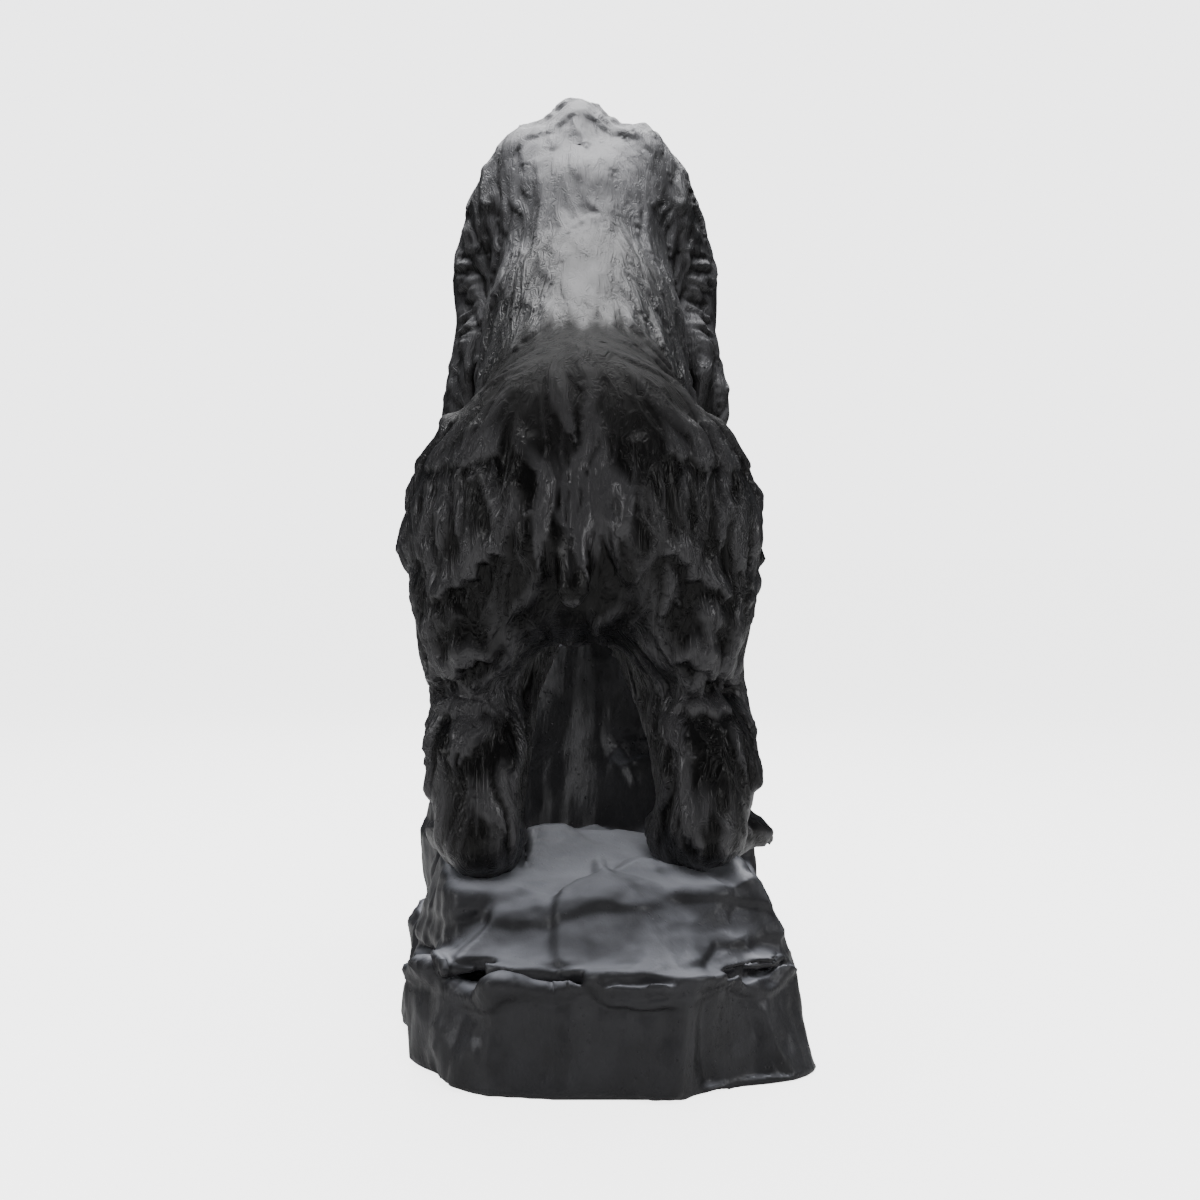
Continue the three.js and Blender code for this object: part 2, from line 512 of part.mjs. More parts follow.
/** Collapses the edges that change the surface least, until few enough faces are left or the
 *  next change would cost more than the worst allowed. */
function simplify(surface, wanted, worst = Infinity) {
  const at = Float64Array.from(surface.points);
  const faces = Int32Array.from(surface.faces);
  const count = at.length / 3;
  const around = Array.from({ length: count }, () => []);
  faces.forEach((v, i) => around[v].push(Math.floor(i / 3)));
  const quadrics = new Float64Array(count * 10);
  const normal = [0, 0, 0];
  const normalOf = (a, b, c, moved, x, y, z) => {
    const [ax, ay, az] = a === moved ? [x, y, z] : [at[3 * a], at[3 * a + 1], at[3 * a + 2]];
    const [bx, by, bz] = b === moved ? [x, y, z] : [at[3 * b], at[3 * b + 1], at[3 * b + 2]];
    const [cx, cy, cz] = c === moved ? [x, y, z] : [at[3 * c], at[3 * c + 1], at[3 * c + 2]];
    normal[0] = (by - ay) * (cz - az) - (bz - az) * (cy - ay);
    normal[1] = (bz - az) * (cx - ax) - (bx - ax) * (cz - az);
    normal[2] = (bx - ax) * (cy - ay) - (by - ay) * (cx - ax);
    return lengthOf(...normal);
  };
  const plane = [0, 0, 0, 0];
  for (let f = 0; f < faces.length; f += 3) {
    const a = faces[f];
    const size = normalOf(a, faces[f + 1], faces[f + 2], -1);
    if (size < 1e-9) continue;
    plane[0] = normal[0] / size;
    plane[1] = normal[1] / size;
    plane[2] = normal[2] / size;
    plane[3] = -(plane[0] * at[3 * a] + plane[1] * at[3 * a + 1] + plane[2] * at[3 * a + 2]);
    for (let corner = f; corner < f + 3; corner++) {
      let slot = faces[corner] * 10;
      for (let i = 0; i < 4; i++)
        for (let j = i; j < 4; j++) quadrics[slot++] += (plane[i] * plane[j] * size) / 2;
    }
  }
  const q = new Float64Array(10);
  const best = [0, 0, 0];
  /** Finds the point that an edge is best drawn together at and returns what that costs. */
  const plan = (a, b) => {
    for (let i = 0; i < 10; i++) q[i] = quadrics[a * 10 + i] + quadrics[b * 10 + i];
    const [ax, ay, az] = [at[3 * a], at[3 * a + 1], at[3 * a + 2]];
    const [bx, by, bz] = [at[3 * b], at[3 * b + 1], at[3 * b + 2]];
    const reach = lengthOf(ax - bx, ay - by, az - bz);
    const c0 = q[4] * q[7] - q[5] * q[5];
    const c1 = q[2] * q[5] - q[1] * q[7];
    const c2 = q[1] * q[5] - q[2] * q[4];
    const det = q[0] * c0 + q[1] * c1 + q[2] * c2;
    const scale = q[0] + q[4] + q[7];
    let x = (ax + bx) / 2;
    let y = (ay + by) / 2;
    let z = (az + bz) / 2;
    if (det > 1e-4 * scale ** 3) {
      const sx = -(q[3] * c0 + q[6] * c1 + q[8] * c2) / det;
      const sy =
        -(q[3] * c1 + q[6] * (q[0] * q[7] - q[2] * q[2]) + q[8] * (q[1] * q[2] - q[0] * q[5])) / det;
      const sz =
        -(q[3] * c2 + q[6] * (q[1] * q[2] - q[0] * q[5]) + q[8] * (q[0] * q[4] - q[1] * q[1])) / det;
      if (lengthOf(sx - x, sy - y, sz - z) < 1.5 * reach) [x, y, z] = [sx, sy, sz];
    }
    best[0] = x;
    best[1] = y;
    best[2] = z;
    const error =
      q[0] * x * x + q[4] * y * y + q[7] * z * z + q[9] +
      2 * (q[1] * x * y + q[2] * x * z + q[5] * y * z + q[3] * x + q[6] * y + q[8] * z);
    // A little of the edge's own length keeps triangles even where the surface is flat
    return Math.max(error, 0) + 1e-5 * reach * reach * scale;
  };
  // A heap of edges, cheapest first: it holds their numbers, and their values stand in plain lists
  const heap = [];
  const costs = [];
  const ends = [];
  const made = [];
  const push = (edge) => {
    let i = heap.push(edge) - 1;
    while (i > 0) {
      const parent = (i - 1) >> 1;
      if (costs[heap[parent]] <= costs[edge]) break;
      heap[i] = heap[parent];
      i = parent;
    }
    heap[i] = edge;
  };
  const pop = () => {
    const top = heap[0];
    const last = heap.pop();
    const size = heap.length;
    if (!size) return top;
    const cost = costs[last];
    let i = 0;
    for (;;) {
      let child = 2 * i + 1;
      if (child >= size) break;
      if (child + 1 < size && costs[heap[child + 1]] < costs[heap[child]]) child++;
      if (costs[heap[child]] >= cost) break;
      heap[i] = heap[child];
      i = child;
    }
    heap[i] = last;
    return top;
  };
  const changes = new Int32Array(count);
  const offer = (a, b) => {
    const edge = costs.push(plan(a, b)) - 1;
    ends.push(a, b);
    made.push(changes[a] + changes[b]);
    push(edge);
  };
  const neighbours = (v) => {
    const found = [];
    for (const f of around[v])
      for (let i = 3 * f; i < 3 * f + 3; i++)
        if (faces[i] !== v && !found.includes(faces[i])) found.push(faces[i]);
    return found;
  };
  for (let a = 0; a < count; a++) for (const b of neighbours(a)) if (a < b) offer(a, b);
  const keepsFacing = (moved, other) => {
    for (const f of around[moved]) {
      const [a, b, c] = [faces[3 * f], faces[3 * f + 1], faces[3 * f + 2]];
      if (a === other || b === other || c === other) continue;
      const before = normalOf(a, b, c, -1);
      const [x, y, z] = normal;
      const after = normalOf(a, b, c, moved, ...best);
      const agree = x * normal[0] + y * normal[1] + z * normal[2];
      if (agree < 0.3 * before * after || after < 1e-2) return false;
    }
    return true;
  };
  let left = faces.length / 3;
  while (left > wanted && heap.length) {
    const edge = pop();
    if (costs[edge] > worst) break;
    const [a, b] = [ends[2 * edge], ends[2 * edge + 1]];
    if (changes[a] + changes[b] !== made[edge] || !around[b].length) continue;
    const nearA = neighbours(a);
    if (!nearA.includes(b)) continue;
    if (neighbours(b).filter((v) => nearA.includes(v)).length !== 2) continue;
    plan(a, b);
    if (!keepsFacing(a, b) || !keepsFacing(b, a)) continue;
    at.set(best, 3 * a);
    for (let i = 0; i < 10; i++) quadrics[a * 10 + i] += quadrics[b * 10 + i];
    for (const f of around[b]) {
      const first = 3 * f;
      if (faces[first] === a || faces[first + 1] === a || faces[first + 2] === a) {
        for (let i = first; i < first + 3; i++) {
          if (faces[i] !== b) around[faces[i]].splice(around[faces[i]].indexOf(f), 1);
          faces[i] = -1;
        }
        left--;
      } else {
        for (let i = first; i < first + 3; i++) if (faces[i] === b) faces[i] = a;
        around[a].push(f);
      }
    }
    around[b] = [];
    changes[a]++;
    changes[b]++;
    for (const v of neighbours(a)) offer(a, v);
  }
  return { points: at, faces: faces.filter((v) => v >= 0) };
}

/** A closed surface as a solid that can be cut. */
function solidOf({ points, faces }) {
  const used = [...new Set(faces)];
  const renumber = new Map(used.map((v, i) => [v, i]));
  const vertProperties = new Float32Array(used.flatMap((v) => [...points.slice(3 * v, 3 * v + 3)]));
  const triVerts = new Uint32Array(faces).map((v) => renumber.get(v));
  return new Manifold(new Mesh({ numProp: 3, vertProperties, triVerts }));
}

/** The figure with its soles cut to the rock, clear of it by the gap upward and sideways. */
function seatOnRock(figureSurface, rockSurface, gap) {
  const rockSolid = solidOf(rockSurface);
  const shifts = [[0, 0, gap], [gap, 0, 0], [-gap, 0, 0], [0, gap, 0], [0, -gap, 0]];
  const cutter = Manifold.union(shifts.map((shift) => rockSolid.translate(shift)));
  const cut = solidOf(figureSurface).subtract(cutter).getMesh();
  return simplify({ points: cut.vertProperties, faces: cut.triVerts }, 0, crumb);
}

/** Brings the points that are all but on the floor down to it, so that the underside is flat. */
function levelled({ points, faces }) {
  const flat = points.map((v, i) => (i % 3 === 2 && v < 0.15 * rockCell ? 0 : v));
  return { points: flat, faces };
}

/** A flat triangle list as a BufferGeometry. */
function geometryOf({ points, faces }) {
  const positions = new Float32Array(faces.length * 3);
  faces.forEach((v, i) => positions.set(points.subarray(3 * v, 3 * v + 3), 3 * i));
  const geometry = new THREE.BufferGeometry();
  geometry.setAttribute("position", new THREE.BufferAttribute(positions, 3));
  return mergeVertices(geometry, 1e-3);
}

// The two castings

const bearBox = new THREE.Box3().setFromPoints([place(-250, 1010, -30), place(250, -170, 1040)]);
const rockBox = new THREE.Box3(
  new THREE.Vector3(share * (rockShift - 330), share * (frontOfRock - 118), -0.35 * rockCell),
  new THREE.Vector3(share * (rockShift + 330), share * (rearOfRock + 118), foreLedge + 47 * share),
);
const rockSurface = levelled(simplify(surfaceOf(rock, rockBox, rockCell), rockTriangles));
const wholeBear = simplify(surfaceOf(figure, bearBox, bearCell), bearTriangles);
const bearSurface = seatOnRock(wholeBear, rockSurface, seatGap);

const bronze = new THREE.MeshStandardMaterial({ color: 0x1c1c1e, roughness: 0.38, metalness: 0.9 });
const bear = new THREE.Mesh(geometryOf(bearSurface), bronze);
bear.name = "bear";
const base = new THREE.Mesh(geometryOf(rockSurface), bronze);
base.name = "rock_base";

const sculpture = new THREE.Group();
sculpture.add(bear, base);
const extent = new THREE.Box3().setFromObject(sculpture);
const middle = extent.getCenter(new THREE.Vector3());
for (const casting of [bear, base]) casting.geometry.translate(-middle.x, -middle.y, 0);
export default sculpture;
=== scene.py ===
"""A bronze bear climbing a crag: the two castings, their carved relief, patina and light."""

import logging
import math
from dataclasses import dataclass, field
from enum import Enum
from typing import ClassVar

import bmesh
import bpy
import numpy as np
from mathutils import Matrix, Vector, kdtree, noise


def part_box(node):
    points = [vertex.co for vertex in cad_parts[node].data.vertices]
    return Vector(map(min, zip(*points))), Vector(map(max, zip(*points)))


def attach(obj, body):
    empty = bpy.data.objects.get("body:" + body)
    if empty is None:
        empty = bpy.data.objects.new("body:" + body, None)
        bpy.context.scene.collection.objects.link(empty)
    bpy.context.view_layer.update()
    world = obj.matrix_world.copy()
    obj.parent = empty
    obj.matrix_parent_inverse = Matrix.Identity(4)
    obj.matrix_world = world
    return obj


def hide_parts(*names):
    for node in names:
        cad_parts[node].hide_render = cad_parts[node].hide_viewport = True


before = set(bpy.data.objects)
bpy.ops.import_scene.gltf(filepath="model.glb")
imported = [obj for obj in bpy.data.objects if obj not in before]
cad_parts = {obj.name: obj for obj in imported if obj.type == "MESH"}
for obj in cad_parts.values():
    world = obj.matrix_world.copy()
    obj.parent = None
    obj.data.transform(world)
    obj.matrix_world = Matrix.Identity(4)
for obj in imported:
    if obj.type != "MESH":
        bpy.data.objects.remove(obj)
LOG = logging.getLogger("bear")

FIGURE_HEIGHT = 1.7
HIND_SOLE_Z = 0.37
TAIL_SIDE_Y = 0.24
MIDDLE_X = 0.011
FINE_VOXEL = 0.0056
ROCK_VOXEL_SHARE = 1.3
CAMERA_BEHIND = 3.58
CAMERA_Z = 0.98


def select_only(obj: bpy.types.Object) -> None:
    """Selects one object and makes it active.

    Args:
        obj: The object that the next operator works on.
    """
    bpy.ops.object.select_all(action="DESELECT")
    obj.select_set(True)
    bpy.context.view_layer.objects.active = obj


def vertex_array(mesh: bpy.types.Mesh, name: str = "co") -> np.ndarray:
    """Reads a value of every vertex.

    Args:
        mesh: The mesh to read.
        name: "co" for places or "normal" for normals.

    Returns:
        One row of three numbers for each vertex.
    """
    values = np.empty(len(mesh.vertices) * 3, np.float32)
    mesh.vertices.foreach_get(name, values)
    return values.reshape(-1, 3).astype(np.float64)


def write_vertices(mesh: bpy.types.Mesh, places: np.ndarray) -> None:
    """Moves every vertex of a mesh.

    Args:
        mesh: The mesh to change.
        places: One row of three numbers for each vertex.
    """
    mesh.vertices.foreach_set("co", places.astype(np.float32).ravel())
    mesh.update()


def write_attribute(mesh: bpy.types.Mesh, name: str, values: np.ndarray) -> None:
    """Stores a vector for every vertex, for the materials to read.

    Args:
        mesh: The mesh that carries it.
        name: The attribute's name.
        values: One row of three numbers for each vertex.
    """
    layer = mesh.attributes.new(name, "FLOAT_VECTOR", "POINT")
    layer.data.foreach_set("vector", values.astype(np.float32).ravel())


def ease(low: float, high: float, value: np.ndarray) -> np.ndarray:
    """Runs smoothly from 0 to 1 between two values.

    Args:
        low: Where it starts.
        high: Where it ends.
        value: What it is read at.

    Returns:
        The eased share, from 0 to 1.
    """
    t = np.clip((value - low) / (high - low), 0.0, 1.0)
    return t * t * (3 - 2 * t)


def unit(rows: np.ndarray) -> np.ndarray:
    """Scales each row to length 1.

    Args:
        rows: The vectors, one to a row.

    Returns:
        The same directions at length 1.
    """
    return rows / np.maximum(np.linalg.norm(rows, axis=1, keepdims=True), 1e-9)


def tree_of(places: np.ndarray) -> kdtree.KDTree:
    """Builds a tree that finds the nearest of many places.

    Args:
        places: The places, one row each.

    Returns:
        The balanced tree.
    """
    tree = kdtree.KDTree(len(places))
    for index, place in enumerate(places.tolist()):
        tree.insert(place, index)
    tree.balance()
    return tree


@dataclass(frozen=True)
class FigurePlace:
    """Turns thousandths of the bear's height into places in the frame."""

    height: float
    sole_z: float
    tail_y: float
    middle_x: float

    def point(self, across: float, forward: float, up: float) -> tuple[float, float, float]:
        """Finds a place on the figure.

        Args:
            across: To the bear's left.
            forward: Ahead of its hind heels.
            up: Above its hind soles.

        Returns:
            The place in metres.
        """
        share = self.height / 1000
        return (
            self.middle_x + across * share,
            self.tail_y - forward * share,
            self.sole_z + up * share,
        )

    def length(self, thousandths: float) -> float:
        """Turns a length in thousandths of the height into metres."""
        return thousandths * self.height / 1000


@dataclass(frozen=True)
class FurGuide:
    """How the fur lies near one place: its fall and the size of its locks, in millimetres."""

    place: tuple[float, float, float]
    fall: tuple[float, float, float]
    length: float
    width: float
    height: float


FUR = (
    FurGuide((0, 940, 866), (0, -1, 0.1), 20, 9, 0.2),
    FurGuide((0, 880, 890), (0, -1, 0.3), 28, 12, 0.8),
    FurGuide((40, 880, 850), (0.1, -1, -0.2), 34, 14, 1.2),
    FurGuide((0, 830, 960), (0, -1, 0.2), 52, 18, 2.6),
    FurGuide((60, 800, 860), (0.3, -1, -0.5), 90, 26, 7.0),
    FurGuide((80, 770, 960), (0.2, -0.5, 1), 34, 14, 1.6),
    FurGuide((0, 890, 812), (0, -1, -0.3), 46, 17, 2.2),
    FurGuide((0, 760, 790), (0, -0.6, -1), 130, 36, 11.0),
    FurGuide((0, 710, 990), (0.1, -1, 0), 110, 32, 8.0),
    FurGuide((110, 700, 900), (0.2, -1, -0.6), 140, 38, 12.0),
    FurGuide((0, 620, 1010), (0.5, -0.9, -0.3), 100, 28, 7.0),
    FurGuide((30, 560, 990), (1.0, -0.8, -0.9), 100, 26, 6.0),
    FurGuide((90, 550, 940), (0.5, -1, -0.7), 120, 30, 5.0),
    FurGuide((0, 480, 870), (0.3, -1, -0.67), 130, 30, 2.6),
    FurGuide((50, 470, 850), (0.5, -1, -0.8), 140, 28, 5.5),
    FurGuide((0, 360, 770), (0.1, -1, -0.67), 130, 34, 1.3),
    FurGuide((0, 230, 690), (0.05, -1, -0.67), 130, 34, 1.2),
    FurGuide((60, 360, 750), (0.45, -1, -0.8), 150, 28, 6.5),
    FurGuide((95, 420, 760), (0.4, -1, -1.0), 150, 30, 9.5),
    FurGuide((60, 230, 680), (0.35, -1, -0.8), 150, 27, 7.0),
    FurGuide((100, 250, 660), (0.4, -0.9, -1.0), 150, 30, 11.0),
    FurGuide((0, 110, 630), (0.25, -1, -0.8), 120, 26, 4.0),
    FurGuide((60, 110, 620), (0.5, -0.8, -0.9), 140, 27, 6.5),
    FurGuide((0, 0, 590), (0.2, -0.5, -1), 150, 27, 8.0),
    FurGuide((60, 10, 580), (0.45, -0.5, -1), 150, 28, 8.5),
    FurGuide((0, -80, 520), (0.1, -0.2, -1), 150, 27, 6.5),
    FurGuide((80, -80, 470), (0.3, -0.1, -1), 150, 33, 9.0),
    FurGuide((120, 60, 560), (0.55, -0.6, -1), 150, 33, 12.0),
    FurGuide((180, 50, 470), (0.4, -0.4, -1), 150, 38, 15.0),
    FurGuide((150, 220, 560), (0.2, -0.8, -0.9), 140, 36, 12.0),
    FurGuide((150, 350, 590), (0.1, -0.7, -1), 140, 36, 12.0),
    FurGuide((90, 330, 490), (0.1, -0.7, -1), 150, 38, 14.0),
    FurGuide((0, 330, 460), (0, -1, -0.5), 140, 36, 12.0),
    FurGuide((0, 650, 700), (0, -0.3, -1), 150, 40, 14.0),
    FurGuide((110, 640, 720), (0.2, -0.5, -1), 150, 38, 12.0),
    FurGuide((175, 580, 800), (0.1, -0.6, -1), 130, 34, 8.0),
    FurGuide((160, 500, 840), (0.3, -1, -0.9), 120, 32, 10.0),
    FurGuide((200, 520, 650), (0.05, -0.5, -1), 140, 36, 12.0),
    FurGuide((190, 440, 580), (0.1, -0.9, -1), 130, 32, 15.0),
    FurGuide((150, 570, 470), (0, 0.25, -1), 110, 28, 6.0),
    FurGuide((150, 500, 460), (0, 0.1, -1), 120, 30, 11.0),
    FurGuide((150, 640, 375), (0, 0.7, -0.8), 50, 18, 2.2),
    FurGuide((150, 700, 340), (0, 1, -0.3), 26, 12, 0.3),
    FurGuide((195, 50, 370), (0.06, -0.3, -1), 150, 36, 14.0),
    FurGuide((120, -90, 360), (0.2, 0, -1), 150, 34, 11.0),
    FurGuide((60, 10, 290), (0.05, 0.1, -1), 120, 32, 8.0),
    FurGuide((150, 160, 280), (0.1, -0.2, -1), 130, 34, 14.0),
    FurGuide((175, -20, 260), (0.15, -0.1, -1), 130, 36, 16.0),
    FurGuide((110, -60, 250), (0.1, 0, -1), 110, 34, 12.0),
    FurGuide((130, -50, 170), (0.15, 0.05, -1), 130, 30, 8.0),
    FurGuide((150, 60, 140), (0.05, -0.3, -1), 120, 30, 9.0),
    FurGuide((130, -60, 60), (0, 0.3, -1), 90, 28, 5.0),
    FurGuide((130, 90, 60), (0, 1, -0.5), 60, 20, 3.0),
    FurGuide((130, 150, 25), (0, 1, -0.3), 24, 12, 0.3),
    FurGuide((0, -125, 400), (0, 0, -1), 90, 22, 1.5),
)


@dataclass
class FurField:
    """The fall and the lock sizes of the fur at any place, blended from guides."""

    where: FigurePlace
    guides: tuple[FurGuide, ...] = FUR
    reach: float = 0.11
    core: float = 0.02
    batch: int = 20000

    def read(self, places: np.ndarray, normals: np.ndarray) -> tuple[np.ndarray, np.ndarray]:
        """Blends the guides at each place.

        Args:
            places: The places, one row each.
            normals: The skin's normals there.

        Returns:
            The fall along the skin, and length, width and height of a lock in metres.
        """
        pairs = [(guide, side) for guide in self.guides for side in (1, -1)]
        centres = np.array([self.where.point(g.place[0] * s, *g.place[1:]) for g, s in pairs])
        falls = unit(np.array([(g.fall[0] * s, -g.fall[1], g.fall[2]) for g, s in pairs]))
        sizes = np.array([(g.length, g.width, g.height) for g, _ in pairs]) / 1000
        fall = np.empty_like(places)
        size = np.empty_like(places)
        for start in range(0, len(places), self.batch):
            part = slice(start, start + self.batch)
            square = ((places[part, None, :] - centres[None]) ** 2).sum(axis=2)
            weight = 1 / (self.core + np.sqrt(square) / self.reach) ** 4
            weight /= weight.sum(axis=1, keepdims=True)
            fall[part] = weight @ falls
            size[part] = weight @ sizes
        fall -= normals * (fall * normals).sum(axis=1, keepdims=True)
        return unit(fall), size


@dataclass(frozen=True)
class Fold:
    """A tier of fur that ends in a fringe over the tier below it, on both sides of the body."""

    TIP_WAVES: ClassVar[tuple[tuple[float, float, float], ...]] = ((0.008, 150, 0), (0.006, 67, 1))
    CURL_RATE: ClassVar[float] = 260
    END_TAPER: ClassVar[float] = 0.03
    EDGE: ClassVar[tuple[float, float]] = (-0.009, 0.005)
    UPPER_REACH: ClassVar[float] = 0.05
    LOWER_REACH: ClassVar[float] = 0.024
    LOWER_SHARE: ClassVar[float] = 0.8
    WHOLE_REACH: ClassVar[float] = 0.055

    course: tuple[tuple[float, float, float], ...]
    height: float
    curl: float = 0.0
    ragged: float = 1.0
    up: tuple[float, float, float] = (0.0, 0.0, 1.0)

    def lift(self, places: np.ndarray, where: FigurePlace) -> np.ndarray:
        """Raises the fringe's edge and sinks the fur just under it.

        Args:
            places: The skin's points.
            where: Turns the course into places.

        Returns:
            How far each point is raised, in metres.
        """
        raised = np.zeros(len(places))
        for side in (1, -1):
            course = np.array([where.point(x * side, f, u) for x, f, u in self.course])
            nearest = np.full(len(places), 9.0)
            above = np.zeros(len(places))
            run_at = np.zeros(len(places))
            before = 0.0
            for start, end in zip(course[:-1], course[1:]):
                run = end - start
                reach = np.linalg.norm(run)
                share = np.clip((places - start) @ run / reach**2, 0, 1)
                offset = places - (start + share[:, None] * run)
                far = np.linalg.norm(offset, axis=1)
                closer = far < nearest
                nearest[closer] = far[closer]
                run_at[closer] = before + (share * reach)[closer]
                rising = np.array((self.up[0] * side, -self.up[1], self.up[2]))
                above[closer] = (offset @ rising)[closer]
                before += reach
            tips = sum(size * np.sin(run_at * rate + at) for size, rate, at in self.TIP_WAVES)
            above = above + self.ragged * tips
            ends = ease(0, self.END_TAPER, run_at) * ease(0, self.END_TAPER, before - run_at)
            upper = np.exp(-((np.maximum(above, 0) / self.UPPER_REACH) ** 2))
            upper = upper * ease(*self.EDGE, above)
            lower = np.exp(-((np.minimum(above, 0) / self.LOWER_REACH) ** 2))
            lower = lower * ease(*self.EDGE[::-1], above)
            close = np.exp(-((nearest / self.WHOLE_REACH) ** 4)) * ends
            curls = 1 + self.curl * np.sin(run_at * self.CURL_RATE)
            raised += self.height * close * (upper * curls - self.LOWER_SHARE * lower)
        return raised


FOLDS = (
    Fold(
        ((84, -114, 361), (103, -102, 350), (124, -82, 329), (148, -71, 312), (175, -44, 302)),
        0.01, ragged=0.5,
    ),
    Fold(((80, -115, 464), (114, -99, 457), (150, -67, 451), (183, -10, 452)), 0.005, ragged=0.6),
    Fold(((96, -60, 243), (124, -58, 229), (151, -18, 215), (180, 20, 202)), 0.011, ragged=0.6),
    Fold(((126, -74, 292), (146, -70, 277), (172, -32, 254)), 0.005, ragged=0.5),
    Fold(((94, -20, 180), (128, -34, 176), (168, 0, 177)), 0.009, ragged=0.5),
    Fold(((4, 585, 1004), (40, 560, 990), (84, 530, 945)), 0.006, 0.0, 0.4, (0.3, 0.75, 0.55)),
    Fold(((4, 530, 975), (44, 505, 948), (92, 490, 890)), 0.004, 0.0, 0.4, (0.3, 0.75, 0.55)),
    Fold(((163, 500, 790), (171, 502, 740), (172, 480, 680), (178, 456, 621)), 0.006, 0.35),
)


@dataclass(frozen=True)
class LockLayer:
    """One layer of locks, as shares of the fur field's own sizes."""

    LENGTHS: ClassVar[tuple[float, float]] = (0.7, 1.3)
    WIDTHS: ClassVar[tuple[float, float]] = (0.75, 1.25)
    HEIGHTS: ClassVar[tuple[float, float]] = (0.55, 1.2)
    TURN: ClassVar[float] = 0.1
    BED_SHARE: ClassVar[float] = 0.62
    TRIES: ClassVar[float] = 2.6
    SPACING: ClassVar[float] = 0.66
    NARROWEST: ClassVar[float] = 0.12
    LEAN: ClassVar[float] = 0.18

    length: float
    width: float
    height: float
    cover: float
    sway: float
    seed: int
    steps: int = 9

    def taper(self, share: float) -> float:
        """Finds how wide a lock is against its full width: rounded at its root, drawn out ahead.

        Args:
            share: How far along the lock, from 0 to 1.

        Returns:
            Its width there as a share.
        """
        rounded = math.sqrt(max(1 - (1.75 * share - 0.75) ** 4, 0))
        return max(rounded * (1.05 - 0.55 * share), self.NARROWEST)

    def profile(self, height: np.ndarray, run: np.ndarray, across: np.ndarray) -> np.ndarray:
        """Finds how high locks stand: rising toward their tips, their crowns to one side.

        Args:
            height: Each lock's full height.
            run: How far along it the point is, from 0 to 1.
            across: How far from its middle, from -1 to 1.

        Returns:
            The height at each point.
        """
        rise = 0.05 + 0.95 * ease(0.0, 0.7, run)
        aside = np.abs(across + self.LEAN * (1 - across**2))
        crown = np.power(np.clip(1 - aside**1.7, 0, 1), 0.9)
        return height * rise * crown


